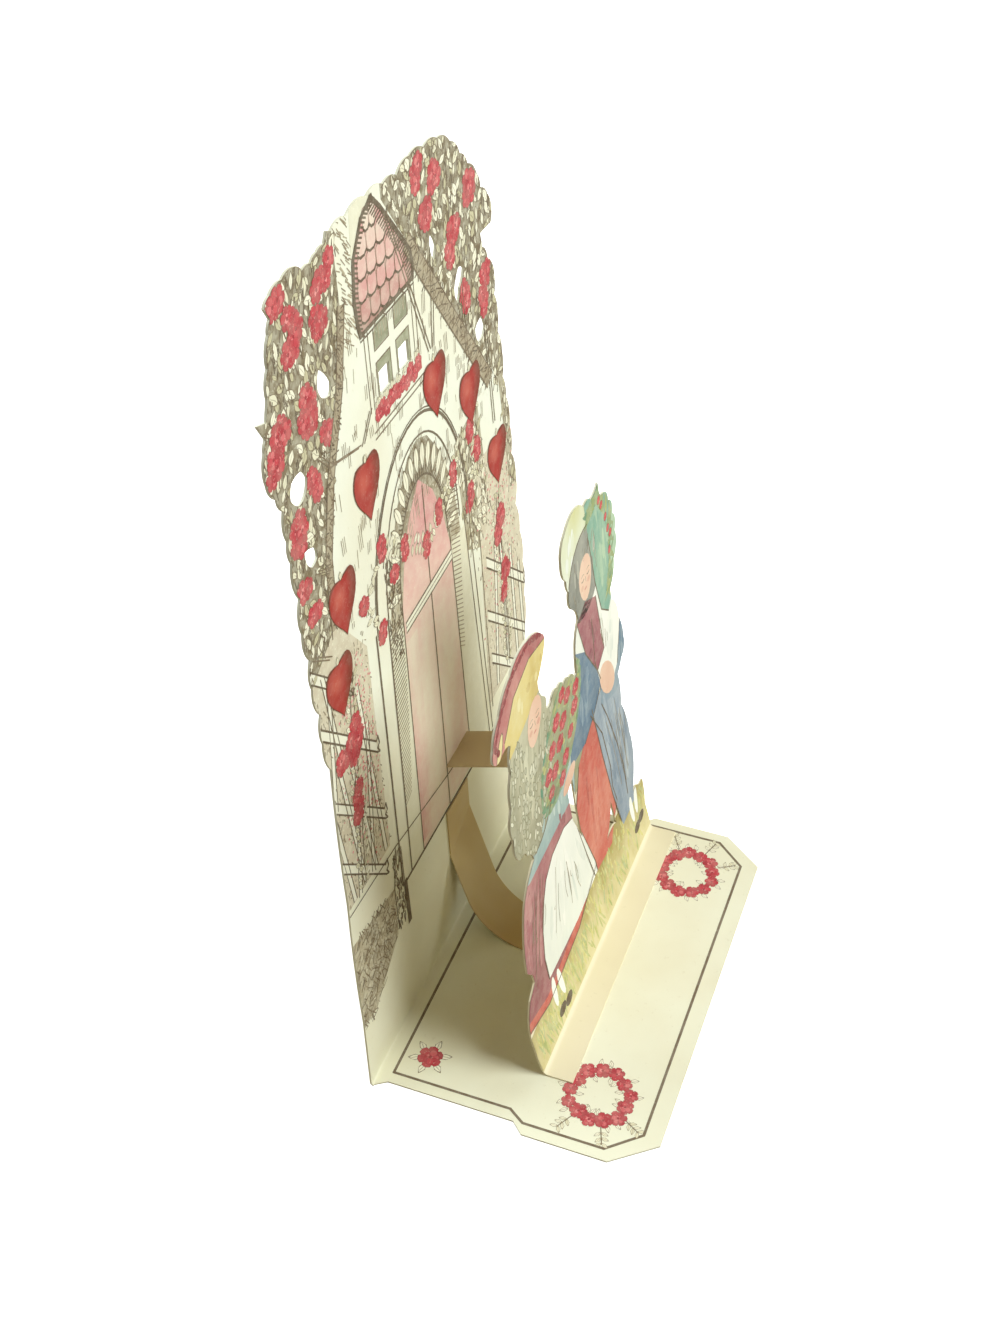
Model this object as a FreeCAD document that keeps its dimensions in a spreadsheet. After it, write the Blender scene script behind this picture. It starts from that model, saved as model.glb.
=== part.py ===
"""Stand-up greeting card made of die-cut printed paper.

One sheet of board is folded once: its short leg is the base, its tall leg is a
back panel cut to the outline of a cottage front in climbing leaves, with window
panes and gaps between the leaves cut through. A second, thinner sheet is cut to
the outline of two children. Its foot curves up from a glued tab on the base. A
paper strip through a slit in the back panel holds this figure sheet upright, and
a curved paper brace stiffens the fold.

Millimetres, Z up. X runs to the right for someone who faces the card, the front
is towards -Y, and the origin is the centre of the underside of the base.
"""
import FreeCAD, Part
import math
import os
import Sketcher
from FreeCAD import Placement, Rotation, Vector

DOC = FreeCAD.newDocument("GreetingCard")
SHEET = DOC.addObject("Spreadsheet::Sheet", "Sizes")

SIZES = (
    # the folded sheet
    ("card_thickness", 0.45, "board of the folded sheet"),
    ("fold_radius", 0.5, "inside radius of the fold"),
    ("back_lean", 2.0, "degrees that the back panel leans back"),
    ("base_depth", 67.5, "fold to front edge of the base"),
    ("base_rear_half", 50.2, "half width of the base behind its step"),
    ("base_front_half", 52.9, "half width of the base before its step"),
    ("step_start", 34.2, "fold to the rear end of the side step"),
    ("step_end", 37.1, "fold to the front end of the side step"),
    ("corner_depth", 10.1, "length of a cut corner along the side"),
    ("corner_width", 7.9, "length of a cut corner along the front"),
    ("fold_neck", 3.2, "length of the rounded neck beside the fold"),
    ("panel_foot_half", 52.3, "half width of the back panel at the fold"),
    ("panel_height", 200.0, "fold to the tallest leaf"),
    ("leaf_bulge", 0.12, "rise of a leaf lobe as a part of its chord"),
    # the window
    ("window_axis", 4.9, "window axis, to the left of the middle"),
    ("window_drop", 39.2, "tallest leaf down to the sill of the cut panes"),
    ("pane_width", 4.6, "width of one cut pane"),
    ("pane_height", 4.8, "height of one cut pane"),
    ("pane_gap", 4.5, "paper left between the two cut panes"),
    # the figure sheet
    ("figure_thickness", 0.4, "paper of the figure sheet"),
    ("figure_distance", 37.7, "fold to the foot of the figure sheet"),
    ("figure_height", 128.0, "base to the tip of the taller child's plume"),
    ("figure_tab", 6.0, "depth of the glued tab before the foot"),
    ("foot_radius", 1.2, "radius of the crease at the foot"),
    ("foot_lean", 22.0, "degrees that the sheet leans back at its foot"),
    ("figure_lean", 2.5, "degrees that the sheet leans back above the bow"),
    ("bow_radius", 58.0, "radius of the bowed foot"),
    # the strips
    ("strip_thickness", 0.3, "paper of both strips"),
    ("strip_width", 13.0, "width of both strips"),
    ("strip_axis", 9.3, "axis of the upper strip, to the right of the middle"),
    ("strip_height", 51.0, "base to the slit"),
    ("strip_rise", 18.0, "degrees that the upper strip rises to the front"),
    ("strip_tab", 8.0, "length of a glued strip tab"),
    ("crease_radius", 0.4, "inside radius of a strip's crease"),
    ("slit_clearance", 0.12, "room all round the strip in the slit"),
    ("brace_axis", 4.0, "axis of the brace on the base, to the right"),
    ("brace_turn", 8.0, "degrees that the brace is turned on the base"),
    ("brace_reach", 19.0, "fold to where the brace leaves the base"),
    ("brace_radius", 15.0, "radius of the brace's curve"),
    ("brace_slope", 71.0, "degrees that the brace climbs above its curve"),
)
for row, (alias, value, note) in enumerate(SIZES, start=1):
    SHEET.set(f"A{row}", alias)
    SHEET.set(f"B{row}", str(value))
    SHEET.set(f"C{row}", note)
    SHEET.setAlias(f"B{row}", alias)
DOC.recompute()


def size(alias):
    return float(SHEET.get(alias))


def total(*terms):
    """Sum of sheet cells, as a number and as an expression; a leading minus subtracts."""
    number = sum(-size(t[1:]) if t[0] == "-" else size(t) for t in terms)
    text = " ".join("- Sizes." + t[1:] if t[0] == "-" else "+ Sizes." + t for t in terms)
    return number, text.lstrip("+ ")


FOLD = size("base_depth") / 2          # Y of the fold
BOARD = size("card_thickness")
PAPER = size("figure_thickness")
STRIP = size("strip_thickness")
LEAN = math.radians(size("back_lean"))
CUT_MARGIN = 5.0                       # how far cutting shapes pass what they cut
SEAM = 0.02                            # play between glued faces


# Helpers for sketches and outlines

def bind(sketch, kind, entities, number, expression):
    """Adds a dimension to a sketch and ties it to the sheet."""
    index = sketch.addConstraint(Sketcher.Constraint(kind, *entities, number))
    if expression:
        sketch.setExpression(f"Constraints[{index}]", expression)


def corner_sketch(name, placement, corners):
    """A closed polygon whose corners are given as (side, x terms, y terms)."""
    sketch = DOC.addObject("Sketcher::SketchObject", name)
    sketch.Placement = placement
    points = [Vector(side * total(*xs)[0], total(*ys)[0] if ys else 0, 0) for side, xs, ys in corners]
    for start, end in zip(points, points[1:] + points[:1]):
        sketch.addGeometry(Part.LineSegment(start, end))
    for i, (side, xs, ys) in enumerate(corners):
        sketch.addConstraint(Sketcher.Constraint("Coincident", i - 1 if i else len(corners) - 1, 2, i, 1))
        ends = (-1, 1, i, 1) if side > 0 else (i, 1, -1, 1)
        bind(sketch, "DistanceX", ends, *total(*xs))
        if ys:
            bind(sketch, "DistanceY", (-1, 1, i, 1), *total(*ys))
        else:
            sketch.addConstraint(Sketcher.Constraint("PointOnObject", i, 1, -1))
    return sketch


def side_path(name, start, heading, runs):
    """A side view of folded paper: straight runs joined by tangent bends.

    start is (y, z) in millimetres, heading is in degrees from +Y towards +Z. A run
    is ("run", length, expression); a bend is ("bend", radius, expression, turn),
    where a positive turn goes from +Y towards +Z.
    """
    sketch = DOC.addObject("Sketcher::SketchObject", name)
    sketch.Placement = Placement(Vector(0, 0, 0), Rotation(Vector(1, 1, 1), 120))
    here = Vector(start[0], start[1], 0)
    previous = None
    for kind, measure, expression, *turn in runs:
        along = Vector(math.cos(math.radians(heading)), math.sin(math.radians(heading)), 0)
        if kind == "run":
            there = here + along * measure
            index = sketch.addGeometry(Part.LineSegment(here, there))
            ends = (1, 2)
            sketch.addConstraint(Sketcher.Constraint("Angle", index, math.radians(heading)))
            bind(sketch, "Distance", (index,), measure, expression)
        else:
            left = 1 if turn[0] > 0 else -1
            side = Vector(-along.y, along.x, 0) * left
            centre = here + side * measure
            first = math.atan2(-side.y, -side.x)
            last = first + math.radians(turn[0])
            circle = Part.Circle(centre, Vector(0, 0, 1), measure)
            index = sketch.addGeometry(Part.ArcOfCircle(circle, min(first, last), max(first, last)))
            ends = (1, 2) if left > 0 else (2, 1)
            there = centre + Vector(math.cos(last), math.sin(last), 0) * measure
            bind(sketch, "Radius", (index,), measure, expression)
            heading += turn[0]
        if previous:
            sketch.addConstraint(Sketcher.Constraint("Tangent", previous[0], previous[1], index, ends[0]))
        else:
            sketch.addConstraint(Sketcher.Constraint("DistanceX", -1, 1, index, ends[0], here.x))
            sketch.addConstraint(Sketcher.Constraint("DistanceY", -1, 1, index, ends[0], here.y))
        previous = (index, ends[1])
        here = there
    return sketch


def thickened(name, path, alias, sign):
    """Gives a side path the thickness of its paper, on its right (1) or left (-1)."""
    offset = DOC.addObject("Part::Offset2D", name)
    offset.Source = path
    offset.Mode = "Skin"
    offset.Join = "Intersection"
    offset.Fill = True
    offset.setExpression("Value", f"{sign} * Sizes.{alias}")
    return offset


def extruded(name, base, direction, forward, backward=0.0):
    """A straight extrusion; a text length is an expression on the sheet."""
    solid = DOC.addObject("Part::Extrusion", name)
    solid.Base = base
    solid.Dir = direction
    solid.Solid = True
    for prop, length in (("LengthFwd", forward), ("LengthRev", backward)):
        if isinstance(length, str):
            solid.setExpression(prop, length)
        else:
            setattr(solid, prop, length)
    return solid


def joined(name, kind, base, tool):
    """Part::Cut, Part::Common or Part::Fuse of two objects."""
    result = DOC.addObject(f"Part::{kind}", name)
    result.Base = base
    result.Tool = tool
    return result


def upright(x, z):
    return Vector(x, 0, z)


def lobed_wire(points, bulge):
    """A closed front-view outline; each side is an arc that bulges to the left of its run."""
    edges = []
    for (x0, z0, *rise), (x1, z1, *_) in zip(points, points[1:] + points[:1]):
        out = rise[0] if rise else bulge
        if abs(out) < 1e-6:
            edges.append(Part.LineSegment(upright(x0, z0), upright(x1, z1)).toShape())
            continue
        crown = upright((x0 + x1) / 2 - (z1 - z0) * out, (z0 + z1) / 2 + (x1 - x0) * out)
        edges.append(Part.Arc(upright(x0, z0), crown, upright(x1, z1)).toShape())
    return Part.Wire(edges)


def front_faces(name, wires, y, z):
    """Flat faces seen from the front, kept as one object that is then extruded along Y."""
    feature = DOC.addObject("Part::Feature", name)
    faces = [Part.Face(wire) for wire in wires]
    feature.Shape = faces[0] if len(faces) == 1 else Part.makeCompound(faces)
    feature.Placement = Placement(Vector(0, y, z), Rotation())
    return feature


# Folded card: side view of the base, the fold and the back panel

fold_height = BOARD + size("fold_radius")
fold_start = FOLD + size("fold_radius") * (math.tan(LEAN) - 1 / math.cos(LEAN))
base_run = fold_start + size("base_depth") / 2
panel_run = size("panel_height") + CUT_MARGIN
card_path = side_path("CardPath", (-size("base_depth") / 2, BOARD), 0.0, (
    ("run", base_run, None),
    ("bend", size("fold_radius"), "Sizes.fold_radius", 90 - size("back_lean")),
    ("run", panel_run, f"Sizes.panel_height + {CUT_MARGIN}"),
))
card_section = thickened("CardSection", card_path, "card_thickness", 1)
blank_half = size("panel_foot_half") + 3 * CUT_MARGIN
card_blank = extruded("CardBlank", card_section, Vector(1, 0, 0), blank_half, blank_half)

# Folded card: outline of the base, measured forwards from the fold

seen_from_above = Placement(Vector(0, FOLD, 0), Rotation(Vector(0, 0, 1), 180))
BASE_CORNERS = (
    (("panel_foot_half",), ()),
    (("base_rear_half",), ("fold_neck",)),
    (("base_rear_half",), ("step_start",)),
    (("base_front_half",), ("step_end",)),
    (("base_front_half",), ("base_depth", "-corner_depth")),
    (("base_front_half", "-corner_width"), ("base_depth",)),
)
base_corners = [(1, xs, ys) for xs, ys in BASE_CORNERS]
base_corners += [(-1, xs, ys) for xs, ys in reversed(BASE_CORNERS)]
base_outline = corner_sketch("BaseOutline", seen_from_above, base_corners)
base_room = extruded("BaseRoom", base_outline, Vector(0, 0, 1), "2 * Sizes.card_thickness", 1.0)

# Folded card: outline of the back panel

PLAIN = 0.012                          # bulge of the nearly straight lower edges
ROUGH = 0.10                           # bulge of the small leaves low on the right
# Foot of the left edge, as (inwards from the foot corner, part of the panel height).
LEFT_FOOT = ((0.0, 0.0, 0.0), (0.9, 0.11, PLAIN), (1.6, 0.3, PLAIN))
# Foot of the right edge, as (inwards from the foot corner, part of the panel height).
RIGHT_FOOT = ((-2.3, 0.13, PLAIN), (0.0, 0.0, 0.0))
# Leaf tips from the left eaves over the top to the right eaves, as (X, down from the top).
LEAF_TIPS = (
    (-49.5, 102.0, ROUGH), (-51.0, 94.0), (-50.4, 87.0), (-51.9, 79.5), (-51.2, 73.0),
    (-52.4, 66.0), (-51.6, 58.5), (-52.5, 50.0), (-52.7, 45.3), (-52.6, 39.0), (-54.2, 35.6),
    (-56.7, 31.2), (-55.8, 25.4), (-54.8, 23.4, 0.0), (-57.0, 19.6, 0.0), (-53.8, 20.7, 0.0),
    (-52.4, 17.2), (-50.9, 12.4), (-49.2, 7.2), (-48.0, 5.0, 0.0), (-49.4, 2.6), (-47.2, 1.3),
    (-42.6, 0.7), (-38.2, 0.6), (-35.6, 2.5), (-32.4, 2.7), (-29.8, 1.9), (-26.9, 1.8, 0.0),
    (-25.7, 0.0, 0.0), (-24.2, 0.7), (-18.0, 0.7), (-9.6, 0.8), (-2.6, 1.5), (3.4, 2.4),
    (9.5, 1.2), (16.0, 2.2), (22.5, 3.0), (28.5, 6.0), (33.0, 10.2), (36.6, 13.8),
    (41.0, 17.6), (42.6, 21.4), (46.2, 24.2), (48.0, 28.6), (47.2, 30.9, 0.0), (41.2, 30.7, 0.0),
    (41.9, 34.0), (44.6, 37.9),
)
# Right edge below the eaves, as (X, down from the top, bulge).
RIGHT_SIDE = (
    (47.8, 42.4, ROUGH), (47.2, 47.6, ROUGH), (48.7, 52.6, ROUGH), (48.2, 57.0, ROUGH),
    (50.2, 63.1, ROUGH), (49.8, 69.2, ROUGH), (51.4, 75.4, ROUGH), (52.8, 83.8, ROUGH),
    (53.0, 91.5, ROUGH), (55.2, 98.9, ROUGH), (54.2, 106.6, ROUGH), (56.2, 115.9, ROUGH),
    (57.2, 126.0, ROUGH), (57.3, 136.0, ROUGH), (56.9, 146.5, PLAIN),
)


def panel_points():
    """The back panel's outline, clockwise for someone who faces it."""
    foot = size("panel_foot_half")
    top = size("panel_height")
    points = [(inward - foot, part * top, bulge) for inward, part, bulge in LEFT_FOOT]
    points += [(x, top - down, *bulge) for x, down, *bulge in LEAF_TIPS + RIGHT_SIDE]
    return points + [(foot - inward, part * top, bulge) for inward, part, bulge in RIGHT_FOOT]


panel_outline = front_faces("PanelOutline", [lobed_wire(panel_points(), size("leaf_bulge"))],
                            fold_start, 0.0)
panel_room = extruded("PanelRoom", panel_outline, Vector(0, 1, 0), size("panel_height") * 0.2)
card_room = joined("CardRoom", "Fuse", base_room, panel_room)
card_cut = joined("CardCut", "Common", card_blank, card_room)

# Folded card: window panes, gaps between leaves and the slit for the upper strip


def pane(left, bottom):
    """One pane that is cut through."""
    right = left + size("pane_width")
    top = bottom + size("pane_height")
    return lobed_wire([(left, bottom), (left, top), (right, top), (right, bottom)], 0.0)


def panes():
    """The two lower panes of the window; the upper two are only printed."""
    sill = size("panel_height") - size("window_drop")
    near = size("pane_gap") / 2 - size("window_axis")
    far = -size("window_axis") - size("pane_gap") / 2 - size("pane_width")
    return [pane(far, sill), pane(near, sill)]


# Gaps cut between the leaves, clockwise from the left corner, as (X, down from the top).
LEAF_GAPS = (
    ((-35.5, 24.7), (-34.4, 21.6), (-30.4, 26.0), (-31.2, 28.2), (-34.2, 27.2)),
    ((-49.8, 38.6), (-48.8, 35.7), (-45.1, 35.5), (-43.2, 38.0), (-44.6, 40.6), (-47.0, 41.4)),
    ((-47.7, 51.0), (-43.8, 52.4), (-43.4, 54.8), (-45.6, 55.6), (-47.3, 53.8)),
    ((15.4, 22.0), (16.0, 19.4), (18.4, 22.8), (16.9, 25.4)),
    ((25.8, 36.4), (28.6, 32.4), (31.4, 33.8), (28.8, 37.0), (27.4, 39.8)),
    ((35.6, 50.0), (39.0, 48.7), (41.0, 51.8), (39.6, 53.6), (36.8, 53.7)),
)
GAP_BULGE = 0.08


def leaf_gap(corners):
    """One small gap with bowed sides."""
    return lobed_wire([(x, size("panel_height") - down) for x, down in corners], GAP_BULGE)


gap_wires = [leaf_gap(corners) for corners in LEAF_GAPS]
openings = front_faces("PanelOpenings", panes() + gap_wires, fold_start, 0.0)
opening_tools = extruded("OpeningTools", openings, Vector(0, 1, 0), size("panel_height") * 0.2)
card_pierced = joined("CardPierced", "Cut", card_cut, opening_tools)


def panel_face(z):
    """Y of the back panel's front face at height z above the base."""
    return FOLD + z * math.tan(LEAN)


RISE = math.radians(size("strip_rise"))
CREASE = size("crease_radius")
rear_turn = 90 - size("strip_rise") + size("back_lean")
front_turn = 90 - size("strip_rise") + size("figure_lean")
# A bend takes this much of the runs on either side of its corner.
rear_set = CREASE * math.tan(math.radians(rear_turn) / 2)
front_set = (CREASE + STRIP) * math.tan(math.radians(front_turn) / 2)
board_depth = BOARD / math.cos(LEAN)
slit_half_width = size("strip_width") / 2 + size("slit_clearance")
slit_height = (2 * size("slit_clearance") + rear_set + board_depth * math.tan(RISE)
               + STRIP / math.cos(RISE))
slit = DOC.addObject("Part::Box", "Slit")
slit.setExpression("Length", "Sizes.strip_width + 2 * Sizes.slit_clearance")
slit.Width = 4 * CUT_MARGIN
slit.Height = slit_height
slit.Placement.Base = Vector(size("strip_axis") - slit_half_width,
                             panel_face(size("strip_height")) - 2 * CUT_MARGIN,
                             BOARD + size("strip_height"))
folded_card = joined("FoldedCard", "Cut", card_pierced, slit)

# Figure sheet: side view of the tab, the crease, the bowed foot and the straight sheet

figure_foot = FOLD - size("figure_distance")
bow_turn = size("foot_lean") - size("figure_lean")
figure_start = (figure_foot - size("figure_tab"), BOARD + SEAM + PAPER)
figure_path = side_path("FigurePath", figure_start, 0.0, (
    ("run", size("figure_tab"), "Sizes.figure_tab"),
    ("bend", size("foot_radius"), "Sizes.foot_radius", 90 - size("foot_lean")),
    ("bend", size("bow_radius"), "Sizes.bow_radius", bow_turn),
    ("run", size("figure_height"), "Sizes.figure_height"),
))
figure_section = thickened("FigureSection", figure_path, "figure_thickness", 1)
figure_blank = extruded("FigureBlank", figure_section, Vector(1, 0, 0), blank_half, blank_half)

# Figure sheet: outline of the girl, the boy and the grass they stand in

# Clockwise from the girl's foot, as (X, height above the base, bulge to the left).
GIRL_LEFT = (
    (-36.0, -1.0, 0.02), (-35.6, 8.0, 0.06), (-33.7, 22.4, 0.0), (-30.2, 25.2, 0.0),
    (-31.4, 29.0, 0.0), (-34.3, 32.6, 0.05), (-33.8, 53.4, 0.05), (-30.6, 58.8, 0.05),
    (-26.6, 61.6, -0.1), (-30.4, 66.2, -0.2), (-34.6, 69.0, 0.12), (-37.2, 77.5, 0.15),
    (-37.4, 86.5, 0.1), (-36.4, 95.5, 0.1), (-35.8, 102.3, -0.15),
)
BONNET = (
    (-41.2, 103.4, 0.35), (-44.3, 108.2, 0.12), (-40.4, 113.6, 0.10), (-33.6, 118.3, 0.12),
    (-24.4, 119.6, 0.10), (-16.4, 115.4, 0.20), (-15.4, 111.2, 0.05), (-19.8, 105.8, -0.10),
)
BOUQUET = (
    (-17.0, 99.6, 0.20), (-15.6, 95.4, -0.20), (-12.4, 94.6, 0.30), (-8.6, 94.9, 0.30),
    (-5.2, 92.4, 0.30), (-1.4, 91.9, 0.30), (1.6, 88.6, 0.0),
)
BOY_LEFT = (
    (3.6, 89.4, 0.03), (3.2, 97.0, 0.08), (5.6, 102.6, -0.10), (2.2, 107.6, 0.16),
    (0.2, 113.6, 0.10), (-1.2, 117.4, 0.12),
)
HAT_AND_PLUME = (
    (-3.8, 123.6, 0.18), (-0.8, 129.4, 0.14), (6.6, 130.6, 0.10), (10.6, 127.8, 0.20),
    (15.0, 126.9, -0.10), (20.0, 128.0, -0.12), (22.0, 123.4, 0.22), (26.6, 119.3, 0.20),
    (29.4, 114.2, 0.20), (31.0, 108.6, 0.20), (30.2, 101.6, 0.15), (27.4, 95.2, 0.0),
)
BOY_RIGHT = (
    (28.2, 91.6, 0.10), (33.4, 82.8, 0.06), (37.2, 73.6, 0.25), (35.4, 69.0, 0.05),
    (32.4, 66.2, 0.05), (35.0, 54.6, 0.04), (41.6, 40.0, 0.05), (45.2, 26.0, 0.03),
    (44.4, 16.6, 0.0),
)
GRASS = (
    (46.4, 16.9, 0.12), (48.4, 15.2, -0.05), (51.8, 14.6, 0.10), (50.6, 7.4, 0.05),
    (48.9, -1.0, 0.0),
)
FIGURE_REFERENCE = 128.0               # height at which the outlines above were drawn
# Gaps between the two children, in the same terms.
CAPE_GAP = ((-4.6, 60.8, 0.10), (-1.4, 62.2, 0.0), (0.8, 52.0, 0.0), (4.2, 38.6, 0.0),
            (-2.0, 50.0, 0.0))
LEG_GAP = ((22.6, 19.6, -0.08), (25.8, 30.4, 0.0), (30.2, 18.8, -0.12))
figure_scale = size("figure_height") / FIGURE_REFERENCE


def figure_wire(points):
    """An outline of the figure sheet; widths stay and heights follow figure_height."""
    return lobed_wire([(x, z * figure_scale, bulge) for x, z, bulge in points], 0.0)


figure_points = GIRL_LEFT + BONNET + BOUQUET + BOY_LEFT + HAT_AND_PLUME + BOY_RIGHT + GRASS
figure_outline = front_faces("FigureOutline", [figure_wire(figure_points)],
                             figure_start[0] - CUT_MARGIN, BOARD)
figure_depth = size("figure_tab") + size("figure_distance")
figure_room = extruded("FigureRoom", figure_outline, Vector(0, 1, 0), figure_depth)
figure_cut = joined("FigureCut", "Common", figure_blank, figure_room)
figure_gaps = front_faces("FigureGaps", [figure_wire(CAPE_GAP), figure_wire(LEG_GAP)],
                          figure_start[0] - CUT_MARGIN, BOARD)
gap_tools = extruded("GapTools", figure_gaps, Vector(0, 1, 0), figure_depth)
figure_panel = joined("FigurePanel", "Cut", figure_cut, gap_tools)


def figure_back(z):
    """Y of the figure sheet's rear face at height z above the base, above the bow."""
    foot = math.radians(size("foot_lean"))
    lean = math.radians(size("figure_lean"))
    radius = size("foot_radius")
    bow = size("bow_radius")
    y = figure_foot + radius * math.cos(foot) + bow * (math.cos(lean) - math.cos(foot))
    rise = radius * (1 - math.sin(foot)) + bow * (math.sin(foot) - math.sin(lean)) + PAPER + SEAM
    return y + (z - rise) * math.tan(lean) + PAPER / math.cos(lean)


# Upper strip: rear tab, web through the slit, front tab behind the figure sheet


def upper_strip_plan():
    """Start point and web length of the upper strip's underside, from the faces it joins."""
    corner_z = size("strip_height") + size("slit_clearance") + rear_set
    corner_y = panel_face(corner_z) + board_depth + SEAM
    lean = math.tan(math.radians(size("figure_lean")))
    reach = (corner_y - figure_back(corner_z) - SEAM) / (1 + math.tan(RISE) * lean)
    web = reach / math.cos(RISE) - rear_set - front_set
    tab = size("strip_tab") + rear_set
    return (corner_y - tab * math.sin(LEAN), BOARD + corner_z - tab * math.cos(LEAN)), web


strip_start, web_length = upper_strip_plan()
upper_path = side_path("UpperStripPath", strip_start, 90 - size("back_lean"), (
    ("run", size("strip_tab"), "Sizes.strip_tab"),
    ("bend", CREASE, "Sizes.crease_radius", rear_turn),
    ("run", web_length, None),
    ("bend", CREASE + STRIP, "Sizes.crease_radius + Sizes.strip_thickness", -front_turn),
    ("run", size("strip_tab"), "Sizes.strip_tab"),
))
upper_section = thickened("UpperStripSection", upper_path, "strip_thickness", 1)
upper_strip = extruded("UpperStrip", upper_section, Vector(1, 0, 0),
                       "Sizes.strip_width / 2", "Sizes.strip_width / 2")
upper_strip.Placement.Base = Vector(size("strip_axis"), 0, 0)

# Lower brace: tab on the base, curve, web up to the back panel and tab on its front face

TURN = math.radians(size("brace_turn"))
SLOPE = math.radians(size("brace_slope"))
brace_room = size("brace_reach") / math.cos(TURN) + 2 * size("strip_width")
brace_path = side_path("BracePath", (-size("strip_tab"), BOARD + SEAM + STRIP), 0.0, (
    ("run", size("strip_tab"), "Sizes.strip_tab"),
    ("bend", size("brace_radius"), "Sizes.brace_radius", size("brace_slope")),
    ("run", brace_room, None),
))
brace_section = thickened("BraceSection", brace_path, "strip_thickness", 1)
brace_long = extruded("BraceLong", brace_section, Vector(1, 0, 0),
                      "Sizes.strip_width / 2", "Sizes.strip_width / 2")
brace_long.Placement = Placement(Vector(size("brace_axis"), FOLD - size("brace_reach"), 0),
                                 Rotation(Vector(0, 0, 1), -size("brace_turn")))


def on_panel(name, x, height, width, depth, tall):
    """A box that leans with the back panel and stands on its front face."""
    box = DOC.addObject("Part::Box", name)
    box.Length, box.Width, box.Height = width, depth, tall
    lean = Rotation(Vector(1, 0, 0), -size("back_lean"))
    corner = lean.multVec(Vector(x - width / 2, -depth - SEAM, height / math.cos(LEAN)))
    box.Placement = Placement(corner + Vector(0, FOLD, BOARD), lean)
    return box


def brace_meets_panel(across):
    """Height above the base where the brace's face meets the panel, across from its axis."""
    rise = SEAM + STRIP + size("brace_radius") * (1 - math.cos(SLOPE))
    start = size("brace_radius") * math.sin(SLOPE)
    near = (size("brace_reach") + across * math.sin(TURN)) / math.cos(TURN) - start
    return (near * math.tan(SLOPE) + rise) / (1 - math.tan(LEAN) / math.cos(TURN) * math.tan(SLOPE))


half_strip = size("strip_width") / 2
before_panel = on_panel("BeforePanel", size("brace_axis"), -2 * CUT_MARGIN, 2 * blank_half,
                        size("base_depth"), size("panel_height"))
brace_web = joined("BraceWeb", "Common", brace_long, before_panel)
tab_bottom = brace_meets_panel(-half_strip)
tab_height = brace_meets_panel(half_strip) - tab_bottom + size("strip_tab")
tab_axis = size("brace_axis") + (size("brace_reach") + panel_face(tab_bottom) - FOLD) * math.tan(TURN)
brace_tab = on_panel("BraceTab", tab_axis, tab_bottom, size("strip_width") / math.cos(TURN),
                     STRIP, tab_height)
lower_brace = joined("LowerBrace", "Fuse", brace_web, brace_tab)

# Labels, checks and files

NODES = {"folded_card": folded_card, "figure_panel": figure_panel,
         "upper_strip": upper_strip, "lower_brace": lower_brace}
for label, node in NODES.items():
    node.Label = label
DOC.recompute()
for item in DOC.Objects:
    if "Invalid" in item.State or "Error" in item.State:
        raise RuntimeError(f"{item.Name} failed to build")
os.makedirs("parts", exist_ok=True)
for label, node in NODES.items():
    shape = node.Shape
    if shape.isNull() or not shape.isValid() or len(shape.Solids) != 1:
        raise RuntimeError(f"{label} is not one valid solid")
    shape.exportStep(f"parts/{label}.step")
    box = shape.BoundBox
    print(f"{label}: {shape.Volume:.1f} mm3, X {box.XMin:.2f} to {box.XMax:.2f}, "
          f"Y {box.YMin:.2f} to {box.YMax:.2f}, Z {box.ZMin:.2f} to {box.ZMax:.2f}")
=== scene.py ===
"""Print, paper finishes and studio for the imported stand-up greeting card, as a Blender add-on."""
import math
import random

import bmesh
import bpy
from mathutils import Euler, Matrix, Vector
from mathutils.bvhtree import BVHTree


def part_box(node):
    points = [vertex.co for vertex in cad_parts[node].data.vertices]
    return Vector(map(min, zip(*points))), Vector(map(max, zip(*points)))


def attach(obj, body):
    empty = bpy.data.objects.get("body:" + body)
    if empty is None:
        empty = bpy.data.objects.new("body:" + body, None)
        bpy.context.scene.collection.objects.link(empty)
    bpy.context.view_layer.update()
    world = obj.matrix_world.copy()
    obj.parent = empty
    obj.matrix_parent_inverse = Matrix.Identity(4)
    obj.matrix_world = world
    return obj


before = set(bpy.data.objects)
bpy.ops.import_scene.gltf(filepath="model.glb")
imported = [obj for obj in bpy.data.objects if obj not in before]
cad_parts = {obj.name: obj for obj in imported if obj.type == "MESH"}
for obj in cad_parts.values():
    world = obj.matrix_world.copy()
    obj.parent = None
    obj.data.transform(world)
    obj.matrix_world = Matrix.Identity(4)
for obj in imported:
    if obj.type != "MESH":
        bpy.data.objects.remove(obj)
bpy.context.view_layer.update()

bl_info = {
    "name": "Stand-up Greeting Card Print",
    "version": (1, 0, 0),
    "blender": (4, 5, 0),
    "location": "View3D > Sidebar > Card",
    "description": "Prints the folded card and its figure sheet and sets up the studio",
    "category": "Add Mesh",
}

MM = 0.001

# Where the printed faces are, in millimetres, as in the part's own sizes
card_low, card_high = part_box("folded_card")
FOLD_Y = -card_low.y / MM                # the base is centred on the origin
BOARD = 0.45                             # top of the base
PANEL_LEAN = math.radians(2.0)
FOOT_LEAN = math.radians(22.0)
FIGURE_LEAN = math.radians(2.5)
FOOT_RADIUS = 1.2                        # crease at the foot of the figure sheet
BOW_RADIUS = 58.0
FOOT_Y = FOLD_Y - 37.7                   # foot of the figure sheet
TAB_TOP = 0.42                           # figure tab above the base
BOW_START_Z = TAB_TOP + FOOT_RADIUS * (1 - math.sin(FOOT_LEAN))
BOW_START_Y = FOOT_Y + FOOT_RADIUS * math.cos(FOOT_LEAN)
BOW_END_Z = BOW_START_Z + BOW_RADIUS * (math.sin(FOOT_LEAN) - math.sin(FIGURE_LEAN))
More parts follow.
